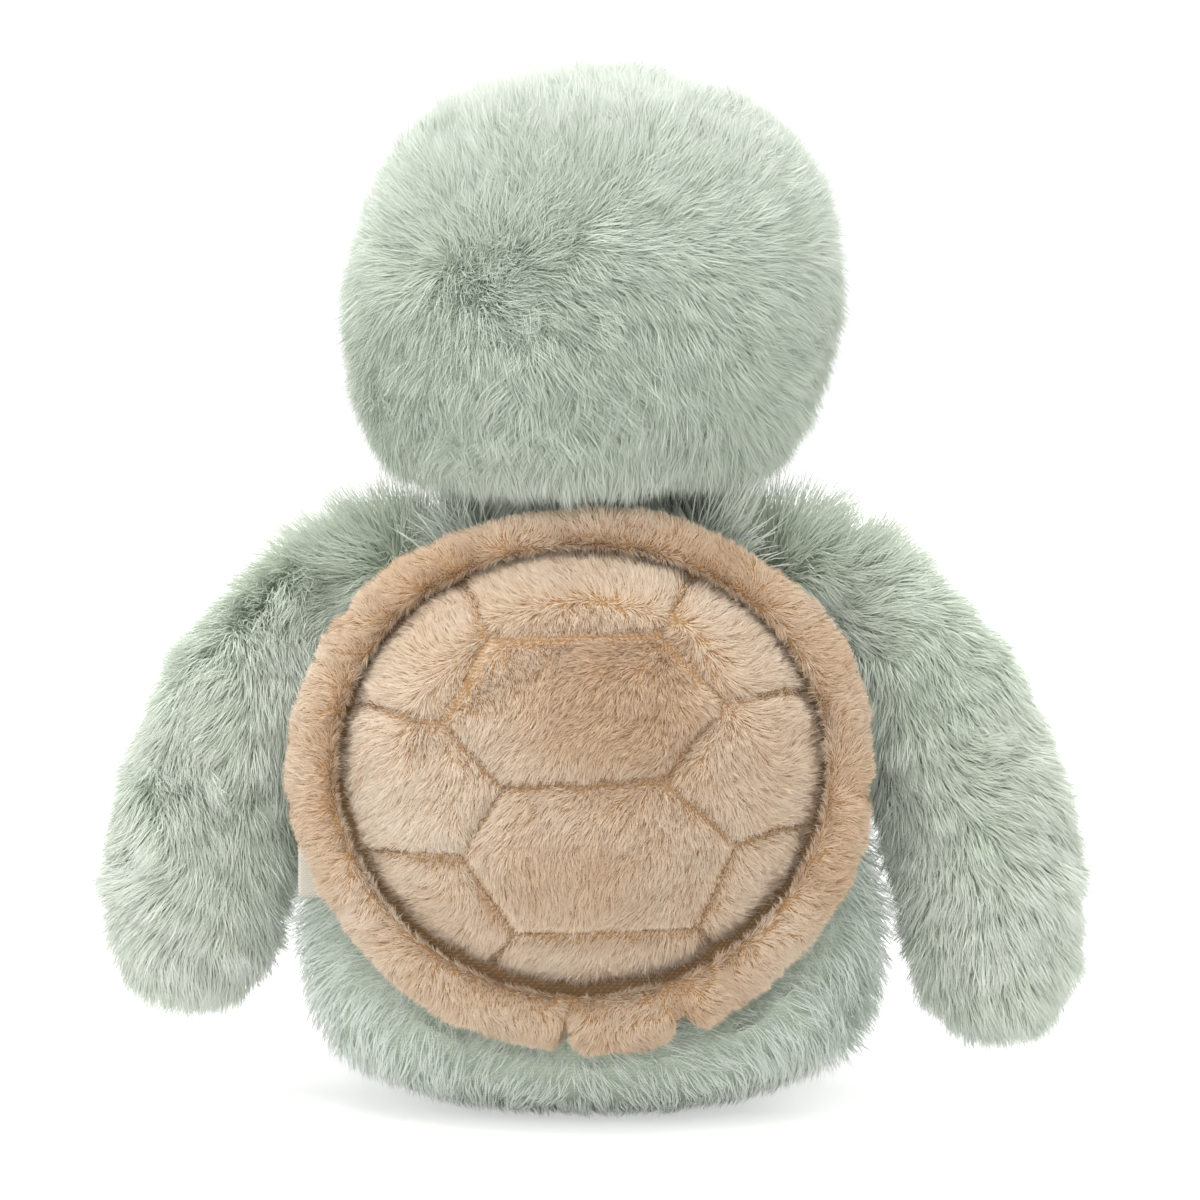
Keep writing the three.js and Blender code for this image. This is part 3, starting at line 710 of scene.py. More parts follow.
@dataclass
class Pile:
    """One patch of pile, grown as tapered blades from a cloth form.

    A blade leaves the cloth at its lift and ends at its lay, both shares between lying flat and
    standing straight up. Bands of shares give how far lengths, widths and pulls vary. The fine
    ripples of swirl and tone have a share of the wide ones' height and of their size.
    """

    name: str
    cloth: Piece
    finish: PileFinish
    slot: str
    body: str
    count: int
    length: float
    width: float
    heading: FieldOf
    seed: int
    lift: float = 0.6
    lay: float = 0.25
    droop: float = 0.25
    swirl: float = 0.6
    swirl_size: float = 60 * MM
    clump: float = 5 * MM
    gather: float = 0.45
    spread: float = 0.12
    tone_size: float = 45 * MM
    tone_spread: float = 0.16
    tone_base: float = 0.5
    density: FieldOf = level(1.0)
    shortness: FieldOf = level(1.0)
    tone: FieldOf = level(0.0)
    stand: FieldOf = level(0.0)
    knees: tuple[float, ...] = BENT
    twist: float = 0.9
    length_band: Band = (0.72, 1.12)
    width_band: Band = (0.7, 1.25)
    pull_band: Band = (0.4, 1.0)
    pull_power: float = 1.5
    uneven: float = 0.12
    uneven_size: float = 14 * MM
    fine_swirl: Band = (0.45, 0.35)
    fine_tone: Band = (0.5, 0.3)
    own_tone: float = 0.09
    tone_limits: Band = (0.02, 0.98)
    way_limits: Band = (0.01, 0.99)
    wild_root: float = 0.6
    least_rise: float = 0.04
    root_sink: float = 0.4 * MM
    clearance: float = 0.6 * MM
    least_tufts: int = 8
    draw: np.random.Generator = field(init=False)
    roots: Points = field(init=False)
    normals: Points = field(init=False)

    def grow(self) -> Piece:
        """Comb, clump and build the blades.

        Returns:
            The finished pile as one mesh.
        """
        self.draw = np.random.default_rng(SEED + self.seed)
        self.sample()
        lengths = self.length * self.draw.uniform(*self.length_band, self.count)
        lengths *= 1 + self.uneven * self.ripple(5, self.uneven_size)
        knees = self.spine(lengths * self.shortness(self.roots))
        self.gather_tips(knees)
        knees[:, :, 2] = np.maximum(knees[:, :, 2], self.clearance)
        return self.blades(knees, self.tones())

    def ripple(self, number: int, size: float) -> Values:
        """Give one of the pile's ripples at its roots."""
        return Ripple(self.seed + number, size).at(self.roots)

    def sample(self) -> None:
        """Scatter roots over the cloth, and keep them with the cloth's normals there."""
        mesh = self.cloth.data
        mesh.calc_loop_triangles()
        corners = np.array([triangle.vertices[:] for triangle in mesh.loop_triangles])
        points, normals = mesh_points(mesh), read(mesh.vertices, "normal")
        first, second, third = (points[corners[:, i]] for i in range(3))
        weights = np.linalg.norm(np.cross(second - first, third - first), axis=1)
        sums = np.cumsum(weights * self.density((first + second + third) / 3))
        chosen = np.searchsorted(sums, self.draw.random(self.count) * sums[-1])
        picked = corners[np.minimum(chosen, len(corners) - 1)]
        a, b = self.draw.random(self.count), self.draw.random(self.count)
        over = a + b > 1
        a[over], b[over] = 1 - a[over], 1 - b[over]
        shares = np.stack([1 - a - b, a, b], axis=1)[:, :, None]
        self.roots = (points[picked] * shares).sum(axis=1)
        self.normals = unit((normals[picked] * shares).sum(axis=1))

    def combed(self) -> Points:
        """Turn the heading onto the cloth and swirl it.

        Returns:
            The combed direction at each root.
        """
        heading = self.heading(self.roots)
        along = unit(heading - self.normals * (heading * self.normals).sum(axis=1, keepdims=True))
        height, size = self.fine_swirl
        turn = self.ripple(1, self.swirl_size) + height * self.ripple(2, self.swirl_size * size)
        turn = self.swirl * turn[:, None]
        return along * np.cos(turn) + np.cross(self.normals, along) * np.sin(turn)

    def spine(self, lengths: Values) -> Points:
        """Bend each blade from its root to its tip.

        Args:
            lengths: The blades' lengths.

        Returns:
            Points by blade and knee.
        """
        combed, normals = self.combed(), self.normals
        knees = [self.roots - normals * self.root_sink]
        wild = self.draw.normal(size=(self.count, 3)) * self.spread
        stand = self.stand(self.roots)
        for start, end in zip(self.knees, self.knees[1:]):
            rise = np.clip(self.lift + (self.lay - self.lift) * (start + end) / 2 + stand, 0, 1)[:, None]
            way = unit(normals * rise + combed * (1 - rise) + DOWN * self.droop * end
                       + wild * (self.wild_root + end))
            sunk = np.minimum((way * normals).sum(axis=1, keepdims=True) - self.least_rise, 0.0)
            way = unit(way - normals * sunk)
            knees.append(knees[-1] + way * (lengths * (end - start))[:, None])
        return np.stack(knees, axis=1)

    def gather_tips(self, knees: Points) -> None:
        """Pull the blades of each tuft towards the tuft's own tip, in place.

        Args:
            knees: Points by blade and knee.
        """
        faces = self.cloth.data.polygons
        borne = read(faces, "area", 1)[:, 0] * np.clip(self.density(read(faces, "center")), 0, 1)
        tufts = max(self.least_tufts, min(self.count, int(borne.sum() / self.clump ** 2)))
        centres = self.draw.choice(self.count, size=tufts, replace=False)
        owner = centres[nearest_of(self.roots[centres], self.roots)]
        strength = self.gather * self.draw.uniform(*self.pull_band, self.count)[:, None]
        for index in range(1, knees.shape[1]):
            share = self.knees[index] ** self.pull_power * strength
            knees[:, index] += (knees[owner, index] - knees[:, index]) * share

    def tones(self) -> Values:
        """Give each blade a tone, from patches of the cloth and its own chance.

        Returns:
            Tones from 0, deep, to 1, pale.
        """
        height, size = self.fine_tone
        tones = self.tone_base + self.tone_spread * self.ripple(3, self.tone_size)
        tones += self.tone_spread * height * self.ripple(4, self.tone_size * size)
        tones += self.draw.normal(size=self.count) * self.own_tone
        return np.clip(tones + self.tone(self.roots), *self.tone_limits)

    def blades(self, knees: Points, tones: Values) -> Piece:
        """Build the blades' mesh.

        Args:
            knees: Points by blade and knee.
            tones: The blades' tones.

        Returns:
            The mesh object.
        """
        count, steps = self.count, len(self.knees) - 1
        facing = unit(self.normals + self.draw.normal(size=(count, 3)) * self.twist)
        across = unit(np.cross(unit(knees[:, -1] - knees[:, 0]), facing))
        widths = self.width * self.draw.uniform(*self.width_band, count)
        rows, faces = [], []
        for index in range(steps):
            half = across * (widths * TAPER[index] / 2)[:, None]
            rows += [knees[:, index] - half, knees[:, index] + half]
        rows.append(knees[:, steps])
        for low in range(0, 2 * steps - 2, 2):
            faces += [(low, low + 1, low + 3), (low, low + 3, low + 2)]
        faces.append((2 * steps - 2, 2 * steps - 1, 2 * steps))
        corners = (np.arange(count)[:, None, None] * len(rows) + np.array(faces)).reshape(-1)
        places = np.empty((count, len(rows), 2))
        places[:, :, 0] = tones[:, None]
        places[:, :, 1] = np.clip(np.repeat(self.knees, 2)[:-1], *self.way_limits)
        total = len(corners) // 3
        mesh = bpy.data.meshes.new(self.name)
        mesh.vertices.add(count * len(rows))
        mesh.vertices.foreach_set("co", np.stack(rows, axis=1).astype(np.float32).ravel())
        mesh.loops.add(len(corners))
        mesh.loops.foreach_set("vertex_index", corners.astype(np.int32))
        mesh.polygons.add(total)
        mesh.polygons.foreach_set("loop_start", np.arange(0, total * 3, 3, dtype=np.int32))
        mesh.polygons.foreach_set("use_smooth", np.ones(total, dtype=bool))
        uv = mesh.uv_layers.new(name=PILE_UV)
        uv.data.foreach_set("uv", places.reshape(-1, 2)[corners].astype(np.float32).ravel())
        mesh.update(calc_edges=True)
        piece = add_piece(self.name, mesh)
        attach(piece, self.finish, self.body, self.slot)
        LOG.info("%s: %d blades, %d triangles", self.name, count, total)
        return piece


# Sub-assemblies

@dataclass
class Head:
    """The long-piled head with its cream muzzle, eyes and sewn mouth."""

    nodes: tuple[str, ...] = ("head_cover", "muzzle_cover", "head_stuffing")
    neck: Place = (0.0, -0.005, 0.174)
    neck_held: float = 30 * MM
    neck_thread: float = 21 * MM
    nose: Place = (0.006, -0.080, 0.205)
    muzzle_edge: float = 1.5 * MM
    lean: float = 4 * MM
    dents: tuple[Dent, ...] = (Dent((0.048, 0.026, 0.236), 9 * MM, 4.5 * MM),
                               Dent((0.050, 0.030, 0.208), 10 * MM, 4 * MM),
                               Dent((0.038, 0.036, 0.190), 10 * MM, 3.5 * MM))
    turn_height: Band = (205 * MM, 262 * MM)
    crown_height: Band = (225 * MM, 262 * MM)
    side_width: Band = (25 * MM, 50 * MM)
    behind_depth: Band = (-32 * MM, -8 * MM)
    forward: float = 0.6
    brow_way: Place = (0.0, -0.7, -0.7)
    eye_length: float = 0.25
    eye_reach: Band = (8 * MM, 24 * MM)
    ruff: float = 0.8
    ruff_height: Band = (158 * MM, 180 * MM)
    ruff_depth: Band = (-50 * MM, -20 * MM)
    neck_length: float = 0.6
    neck_reach: Band = (30 * MM, 40 * MM)
    back_depth: Band = (-22 * MM, -10 * MM)
    front_depth: Band = (-14 * MM, -4 * MM)
    # Tone shifts: painted light on the crown, painted shade at the neck under the head and in the dents.
    pale_height: Band = (0.205, 0.268)
    neck_tone: float = -0.42
    crown_tone: float = 0.5
    dent_tone: float = -0.3
    lean_height: Band = (178 * MM, 262 * MM)
    lean_depth: Band = (-50 * MM, -15 * MM)
    lean_foot: Band = (150 * MM, 172 * MM)
    narrow_height: Band = (166 * MM, 200 * MM)
    narrowing: float = 0.05

    def build(self) -> None:
        """Build the stuffed head, its pile and its face."""
        cloth = PaddedForm("head_cloth", self.nodes, voxel=4.5 * MM, draw_in=6 * MM, smooth=8,
                           pins=((self.neck, self.neck_held),)).build()
        self.sag(cloth)
        for dent in self.dents:
            dent.press(cloth)
        dress(cloth, SAGE_KNIT, "head", "sage_long_pile", 0.8, *self.nodes)
        cream = nearer("muzzle_cover", "head_cover", self.muzzle_edge)
        back_in_cream(cloth, cream)

        def back(points: Points) -> Values:
            """Keep the back and the crown."""
            return (1 - cream(points)) * soft_step(points[:, 1], *self.back_depth)

        def front(points: Points) -> Values:
            """Keep the brow and the cheeks."""
            return (1 - cream(points)) * soft_drop(points[:, 1], *self.front_depth)

        shared = dict(cloth=cloth, slot="sage_long_pile", body="head", finish=SAGE_HEAD, heading=self.flow,
                      shortness=self.clear_of_eyes, tone=self.deeper_low, droop=0.08, swirl=0.85,
                      swirl_size=55 * MM)
        Pile("head_pile_back", count=58000, length=13 * MM, width=0.35 * MM, seed=100, density=back,
             lift=0.64, lay=0.3, gather=0.42, clump=6 * MM, **shared).grow()
        Pile("head_pile_nape", count=58000, length=11.5 * MM, width=0.35 * MM, seed=110, density=back,
             lift=0.7, lay=0.4, gather=0.45, clump=4 * MM, **shared).grow()
        Pile("head_underpile", count=130000, length=9.5 * MM, width=0.33 * MM, seed=115, density=back,
             lift=0.6, lay=0.6, gather=0.35, clump=3 * MM, spread=0.2, knees=STRAIGHT, **shared).grow()
        Pile("head_pile_front", count=36000, length=12.5 * MM, width=0.5 * MM, seed=120, density=front,
             lift=0.64, lay=0.3, gather=0.42, clump=6 * MM, **shared).grow()
        Pile("muzzle_pile", cloth, CREAM, "cream_pile", "head", 25000, 9 * MM, 0.54 * MM,
             away_from(self.nose), 130, density=cream, lift=0.55, shortness=self.clear_of_eyes,
             droop=0.1).grow()
        for side in Side:
            Eye(side).build()
        closing_thread("neck_seam_ring", "neck_seam", self.neck_thread, 0.0)

    def flow(self, points: Points) -> Points:
        """Comb down at the nape, aside at mid height, up over the crown and down to the brow.

        Args:
            points: Points on the head.

        Returns:
            The heading at each point.
        """
        turn = math.pi * soft_step(points[:, 2], *self.turn_height)
        side = soft_step(np.abs(points[:, 0]), *self.side_width)
        ahead = -self.forward * (soft_step(points[:, 2], *self.crown_height) + side * np.sin(turn))
        behind = soft_step(points[:, 1], *self.behind_depth)[:, None]
        heading = np.stack([-np.sin(turn) * (1 - side), ahead, -np.cos(turn)], axis=1)
        return heading * behind + np.array(self.brow_way) * (1 - behind)

    def clear_of_eyes(self, points: Points) -> Values:
        """Shorten the pile round the eyes and inside the neck, and lengthen it behind the neck.

        Args:
            points: Points on the head.

        Returns:
            The share of the pile's length.
        """
        share = np.ones(len(points))
        for side in Side:
            eye = np.array(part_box(f"{side.word}_eye")).mean(axis=0)
            share *= at_least(self.eye_length, soft_step(distance(points, eye), *self.eye_reach))
        low = soft_drop(points[:, 2], *self.ruff_height) * soft_step(points[:, 1], *self.ruff_depth)
        neck = at_least(self.neck_length, soft_step(distance(points, self.neck), *self.neck_reach))
        return share * (1 + self.ruff * low) * neck

    def deeper_low(self, points: Points) -> Values:
        """Paint shade on the pile towards the neck and in the dents, and paint light on the crown."""
        hollows = self.dent_tone * sum(dent.share(points) for dent in self.dents)
        return self.neck_tone + self.crown_tone * soft_step(points[:, 2], *self.pale_height) + hollows

    def sag(self, cloth: Piece) -> None:
        """Settle the back of the head towards the toy's left and narrow it below, as stuffing does.

        Args:
            cloth: The head's cloth form.
        """
        points = mesh_points(cloth.data)
        low = soft_drop(points[:, 2], *self.lean_height) * soft_step(points[:, 1], *self.lean_depth)
        points[:, 0] += self.lean * low * soft_step(points[:, 2], *self.lean_foot)
        points[:, 0] *= 1 - self.narrowing * soft_drop(points[:, 2], *self.narrow_height)
        set_points(cloth.data, points)


@dataclass
class Eye:
    """A polished safety eye: a low dome with a flat back, where the solid eye sits."""

    side: Side
    radius: float = 7.0 * MM
    flatness: float = 0.68
    cut: float = 0.25
    inset: float = 0.8 * MM
    inset_depth: float = 0.5 * MM

    def build(self) -> None:
        """Shape a ball into the eye and turn it the way that the solid eye looks."""
        node = f"{self.side.word}_eye"
        solid = mesh_points(frame["nodes"][node].data)
        middle = solid.mean(axis=0)
        way = unit(middle - mesh_points(frame["nodes"][f"{node}_washer"].data).mean(axis=0))
        ahead = float((solid @ way).max()) - float(middle @ way) - self.radius * self.flatness
        deselect_all()
        bpy.ops.mesh.primitive_uv_sphere_add(segments=40, ring_count=24, radius=self.radius)
        eye = named(f"{node}_dome")
        with editing(None):
            bpy.ops.mesh.bisect(plane_co=(0, 0, -self.radius * self.cut), plane_no=(0, 0, 1),
                                clear_inner=True, use_fill=True)
            bpy.ops.mesh.inset(thickness=self.inset, depth=self.inset_depth)
        put(eye, scale=(1, 1, self.flatness), location=Vector(middle + way * ahead),
            rotation_euler=Vector(way).to_track_quat("Z", "Y").to_euler())
        bpy.ops.object.transform_apply(location=True, rotation=True, scale=True)
        bpy.ops.object.shade_smooth_by_angle(angle=math.radians(40))
        attach(eye, EYE, "head", "eye_plastic", node)


@dataclass
class Torso:
    """The short-piled body with its cream belly."""

    nodes: tuple[str, ...] = ("body_back_cover", "belly_panel", "body_stuffing", "bean_pouch", "pellet_fill")
    shoulder_height: Band = (128 * MM, 146 * MM)
    shoulder_depth: Band = (6 * MM, 20 * MM)
    shoulder_crowd: float = 3
    shoulder_stand: float = 0.4
    seat_length: float = 0.5
    seat_height: Band = (8 * MM, 24 * MM)
    flank_width: Band = (56 * MM, 70 * MM)
    flank_height: Band = (88 * MM, 104 * MM)
    flank_length: float = 0.3
    collar_height: Band = (134 * MM, 142 * MM)
    collar_depth: Band = (4 * MM, 16 * MM)
    collar_source: Place = (0.0, -0.005, 0.060)
    neck_depth: float = -5 * MM
    neck_reach: Band = (22 * MM, 30 * MM)
    pale_height: Band = (30 * MM, 60 * MM)
    low_tone: float = 0.22

    def build(self) -> None:
        """Build the stuffed body and its pile."""
        cloth = PaddedForm("body_cloth", self.nodes, voxel=4.5 * MM, draw_in=4.5 * MM, smooth=8).build()
        dress(cloth, SAGE_KNIT, "torso", "sage_body_pile", 0.7, *self.nodes)
        belly = nearer("belly_panel", "body_back_cover")
        back_in_cream(cloth, belly)

        def back(points: Points) -> Values:
            """Keep the back, thicker on the shoulders."""
            return (1 - belly(points)) * (1 + self.shoulder_crowd * self.shoulders(points))

        shared = dict(cloth=cloth, body="torso", heading=along_way((0, 0.05, -1)), shortness=self.low_pile,
                      tone=self.paler_low, stand=lambda points: self.shoulder_stand * self.shoulders(points))
        Pile("body_pile", finish=SAGE_BODY, slot="sage_body_pile", count=52000, length=10 * MM,
             width=0.38 * MM, seed=200, density=back, lift=0.62, lay=0.4, droop=0.04, gather=0.5, swirl=0.8,
             **shared).grow()
        Pile("collar_pile", cloth, SAGE_LIMB, "sage_body_pile", "torso", 14000, 26 * MM, 0.52 * MM,
             away_from(self.collar_source), 220, density=self.collar, lift=0.9, lay=0.8, gather=0.5,
             clump=6 * MM, droop=0.0, swirl=0.3).grow()
        Pile("belly_pile", finish=CREAM, slot="cream_pile", count=17000, length=10 * MM, width=0.64 * MM,
             seed=210, density=belly, lift=0.6, droop=0.12, **shared).grow()

    def shoulders(self, points: Points) -> Values:
        """Keep the top of the body, ahead of the shell."""
        return soft_step(points[:, 2], *self.shoulder_height) * soft_drop(points[:, 1], *self.shoulder_depth)

    def low_pile(self, points: Points) -> Values:
        """Shorten the pile where the body sits, and lengthen it on the shoulders and the right flank.

        Args:
            points: Points on the body.

        Returns:
            The share of the pile's length.
        """
        seat = at_least(self.seat_length, soft_step(points[:, 2], *self.seat_height))
        flank = soft_step(-points[:, 0], *self.flank_width) * soft_drop(points[:, 2], *self.flank_height)
        return seat * (1 + self.shoulders(points) + self.flank_length * flank)

    def collar(self, points: Points) -> Values:
        """Keep the top of the shoulders, outside the neck and ahead of the shell.

        Args:
            points: Points on the body.

        Returns:
            The share of the pile that grows there.
        """
        neck = np.hypot(points[:, 0], points[:, 1] - self.neck_depth)
        top = soft_step(points[:, 2], *self.collar_height) * soft_step(neck, *self.neck_reach)
        return top * soft_drop(points[:, 1], *self.collar_depth)

    def paler_low(self, points: Points) -> Values:
        """Pale the pile low on the body, where the light comes back from the ground."""
        return self.low_tone * soft_drop(points[:, 2], *self.pale_height)


@dataclass
class CareLabel:
    """A bare folded ribbon sewn into the body's left side seam.

    The path gives the ribbon's steps out from its root and towards the shell, in millimetres.
    """

    height: float = 13.5 * MM
    low: float = 60.2 * MM
    root: tuple[float, float] = (68.6 * MM, 18.3 * MM)
    start: float = 0.3 * MM
    thickness: float = 0.25 * MM
    path: tuple[tuple[float, float], ...] = ((3.0, 0.0), (3.0, 0.1), (2.6, 0.2), (0.7, 0.3), (0.15, 0.55),
                                             (-0.6, 0.35), (-2.6, -0.1), (-3.0, -0.3), (-3.0, -0.3))

    def build(self) -> None:
        """Fold the ribbon out and back from its seam."""
        deselect_all()
        bpy.ops.mesh.primitive_plane_add(size=1)
        label = named("care_ribbon")
        middle = self.low + self.height / 2
        set_points(label.data, np.array([(self.root[0] + share * self.start, self.root[1],
                                          middle + rise * self.height / 2)
                                         for share, rise in ((0, -1), (1, -1), (0, 1), (1, 1))]))
        with editing("DESELECT"):
            bpy.ops.mesh.select_mode(type="EDGE")
        ahead_of_root = mesh_points(label.data)[:, 0] > self.root[0] + self.start / 2
        for edge in label.data.edges:
            edge.select = bool(ahead_of_root[list(edge.vertices)].all())
        length = self.start
        with editing(None):
            for ahead, across in self.path:
                step = (ahead * MM, across * MM, 0)
                bpy.ops.mesh.extrude_region_move(TRANSFORM_OT_translate={"value": step})
                length += math.hypot(ahead, across) * MM
        apply_modifier(label, "SUBSURF", levels=2, render_levels=2)
        apply_modifier(label, "SOLIDIFY", thickness=self.thickness, offset=0.0)
        bpy.ops.object.shade_smooth()
        attach(label, RIBBON, "torso", "ribbon_cloth", "care_label")
        LOG.info("care_ribbon: %.1f mm long", length / MM)


@dataclass
class Limb:
    """One arm or leg: a stuffed form with long pile combed towards its end."""

    side: Side
    part: str
    way: Place
    root: Place
    count: int
    length: float
    width: float
    seed: int
    held: float = 20 * MM
    thread: float = 16 * MM
    seam_reach: Band = (8 * MM, 34 * MM)
    seam_length: float = 0.6
    top_height: Band = (4 * MM, 14 * MM)
    top_length: float = 1.85
    stand_height: Band = (4 * MM, 16 * MM)
    stand_reach: Band = (26 * MM, 42 * MM)
    stand: float = 0.3
    pale_reach: Band = (30 * MM, 110 * MM)
    root_tone: float = -0.12
    tip_tone: float = 0.24

    def build(self) -> None:
        """Build the stuffed limb and its pile."""
        self.way, self.root = ((x * self.side.value, y, z) for x, y, z in (self.way, self.root))
        name = f"{self.side.word}_{self.part}"
        nodes = (f"{name}_cover", f"{name}_stuffing")
        cloth = PaddedForm(f"{name}_cloth", nodes, voxel=3.5 * MM, draw_in=5.5 * MM, smooth=6,
                           pins=((self.root, self.held),)).build()
        dress(cloth, SAGE_KNIT, name, "sage_long_pile", 0.7, *nodes)
        if self.part == "arm":
            shoulder = f"{self.side.word}_shoulder"
            closing_thread(f"{shoulder}_ring", f"{shoulder}_seam", self.thread, math.pi / 2)
        seed = self.seed + (RIGHT_SEED if self.side is Side.RIGHT else 0)
        Pile(f"{name}_pile", cloth, SAGE_LIMB, "sage_long_pile", name, self.count, self.length, self.width,
             along_way(self.way), seed, shortness=self.root_pile, tone=self.paler_tip, stand=self.stand_up,
             swirl=0.75, droop=0.08, lift=0.66, lay=0.36, gather=0.42, clump=5 * MM).grow()

    def root_pile(self, points: Points) -> Values:
        """Shorten the pile at the seam with the body, and lengthen it above the seam.

        Args:
            points: Points on the limb.

        Returns:
            The share of the pile's length.
        """
        low = at_least(self.seam_length, soft_step(distance(points, self.root), *self.seam_reach))
        return low + (self.top_length - low) * soft_step(points[:, 2] - self.root[2], *self.top_height)

    def stand_up(self, points: Points) -> Values:
        """Stand the pile up over the top of the shoulder."""
        near = soft_drop(distance(points, self.root), *self.stand_reach)
        return self.stand * soft_step(points[:, 2] - self.root[2], *self.stand_height) * near

    def paler_tip(self, points: Points) -> Values:
        """Pale the pile towards the limb's end."""
        return self.root_tone + self.tip_tone * soft_step(distance(points, self.root), *self.pale_reach)


ARM = dict(part="arm", way=(0.52, 0.0, -0.85), root=(0.051, -0.009, 0.136), count=64000, length=12.5 * MM,
           width=0.38 * MM, seed=500)
LEG = dict(part="leg", way=(0.05, -1.0, -0.1), root=(0.040, -0.036, 0.027), count=23000, length=11 * MM,
           width=0.6 * MM, seed=600)


@dataclass
class Shell:
    """The quilted padded dome inside its rolled rim.

    A crease holds its angle in degrees, its depth, its width in millimetres and the share of its
    depth on the rim's outside. A patch holds its middle, its half sizes in millimetres and its tone.
    The quilting's corners are shares of the dome's half sizes, across and up.
    """

    centre: Place = (2 * MM, 45 * MM, 95.5 * MM)
    tilt: float = math.radians(8)
    half_width: float = 60.5 * MM
    half_height: float = 54.5 * MM
    overlap: float = 1.5 * MM
    bend_across: float = 22 * MM
    bend_up: float = 9 * MM
    bend_width: float = 72 * MM
    bend_height: float = 66 * MM
    height: float = 33 * MM
    least_height: float = 0.5 * MM
    offset_up: float = 2.5 * MM
    crown_power: float = 2.6
    pile: float = 3.6 * MM
    quilt_depth: float = 5.0 * MM
    quilt_reach: float = 3.6 * MM
    edge_band: Band = (0.0, 0.25)
    edge_dip: float = 0.35
    held_band: Band = (0.8 * MM, 2.6 * MM)
    held_edge: float = 0.97
    seam_band: Band = (0.4 * MM, 2.6 * MM)
    seam_length: float = 0.4
    dome_tone: float = -0.04
    comb_way: Place = (0.15, 0.0, -1.0)
    comb_out: float = 2
    outward_band: Band = (0.72, 0.95)
    stitch: float = 2.5 * MM
    stitch_size: Place = (0.46, 0.45 * MM, 0.4 * MM)
    stitch_lift: Place = (0.0, 1.2 * MM, 0.2 * MM)
    cells: int = 60
    back_cells: int = 30
    back_lift: float = 1.5 * MM
    back_thickness: float = 1.2 * MM
    closing: tuple[tuple[float, float], ...] = ((0.95, -2.5 * MM), (0.8, -1.5 * MM), (0.5, 0.0))
    rim_nodes: tuple[str, ...] = ("shell_rim_cover", "shell_rim_fill")
    rim_top: float = 6.6 * MM
    rim_low: float = 8.8 * MM
    rim_source: float = 10 * MM
    rim_spots: int = 1440
    inner_band: Band = (-0.4, 0.4)
    deepest: float = 0.7
    # Painted shade: how much the pile darkens in the rim's gathers.
    gather_tone: float = -1.2
    swells: tuple[Place, ...] = ((0.05, 3, 0.6), (0.04, 7, 2.1))
    # The first patch is a painted highlight on the left scutes; the other two are darker crushed pile.
    patches: tuple[tuple[float, ...], ...] = ((44, -2, 20, 30, 0.22), (-8, 17, 24, 17, -0.36),
                                              (2, -30, 22, 12, -0.26))
    creases: tuple[tuple[float, float, float, float], ...] = (
        (36, 0.62, 2.6, 0.12), (27, 0.4, 2.2, 0.05), (354, 0.52, 2.6, 0.12), (130, 0.62, 2.6, 0.12),
        (148, 0.42, 2.4, 0.08), (170, 0.4, 2.2, 0.05), (184, 0.56, 2.6, 0.15), (273, 0.4, 1.5, 0.9),
        (249, 0.55, 3.0, 0.7), (66, 0.2, 2.5, 0.0), (100, 0.2, 3.0, 0.0), (214, 0.3, 3.0, 0.05),
        (312, 0.3, 3.0, 0.05), (330, 0.2, 3.0, 0.0))
    corners: dict[str, tuple[float, float]] = field(default_factory=lambda: {
        "upper_left": (0.395, 0.625), "upper_right": (-0.335, 0.655), "right": (-0.605, 0.31),
        "centre_right": (-0.365, -0.045), "centre_left": (0.325, -0.075), "left": (0.61, 0.22),
        "lower_left": (0.525, -0.41), "lower_right": (-0.665, -0.35), "bottom_left": (0.29, -0.79),
        "bottom_right": (-0.5, -0.77), "edge_top_left": (0.5, 0.87), "edge_top_right": (-0.47, 0.88),
        "edge_right": (-0.94, 0.35), "edge_left": (0.96, 0.28), "edge_lower_left": (0.9, -0.42),
        "edge_lower_right": (-0.95, -0.3), "edge_bottom_left": (0.38, -0.93),
        "edge_bottom_right": (-0.55, -0.84)})
    seams: tuple[tuple[str, str], ...] = (
        ("upper_left", "upper_right"), ("upper_right", "right"), ("right", "centre_right"),
        ("centre_right", "centre_left"), ("centre_left", "left"), ("left", "upper_left"),
        ("centre_left", "lower_left"), ("centre_right", "lower_right"), ("lower_left", "bottom_left"),
        ("lower_right", "bottom_right"), ("bottom_left", "bottom_right"), ("upper_left", "edge_top_left"),
        ("upper_right", "edge_top_right"), ("right", "edge_right"), ("left", "edge_left"),
        ("lower_left", "edge_lower_left"), ("lower_right", "edge_lower_right"),
        ("bottom_left", "edge_bottom_left"), ("bottom_right", "edge_bottom_right"))

    def build(self) -> None:
        """Build the backing, the dome with its stitches, and the rim."""
        self.build_back()
        self.build_dome()
        self.build_rim()

    def place(self, across: Values, up: Values, out: Values) -> Points:
        """Bend flat shell measures onto the toy's back.

        Args:
            across: Towards the toy's left from the shell's middle.
            up: Up the shell from its middle.
            out: Out from the shell's back.

        Returns:
            The points in the toy's frame.
        """
        x, y, z = self.centre
        y = (y + out * math.cos(self.tilt) - up * math.sin(self.tilt)
             - self.bend_across * (across / self.bend_width) ** 2
             - self.bend_up * (up / self.bend_height) ** 2)
        z = z + up * math.cos(self.tilt) + out * math.sin(self.tilt)
        return np.stack([x + across, y, z], axis=-1)

    def flat(self, points: Points) -> tuple[Values, Values]:
        """Undo the bend for points near the shell.

        Args:
            points: Points in the toy's frame.

        Returns:
            Their measures across and up from the dome's middle.
        """
        across = points[:, 0] - self.centre[0]
        rise = (points[:, 2] - self.centre[2]) * math.cos(self.tilt)
        deep = points[:, 1] - self.centre[1] + self.bend_across * (across / self.bend_width) ** 2
        up = rise - deep * math.sin(self.tilt)
        deep = deep + self.bend_up * (up / self.bend_height) ** 2
        return across, rise - deep * math.sin(self.tilt) - self.offset_up

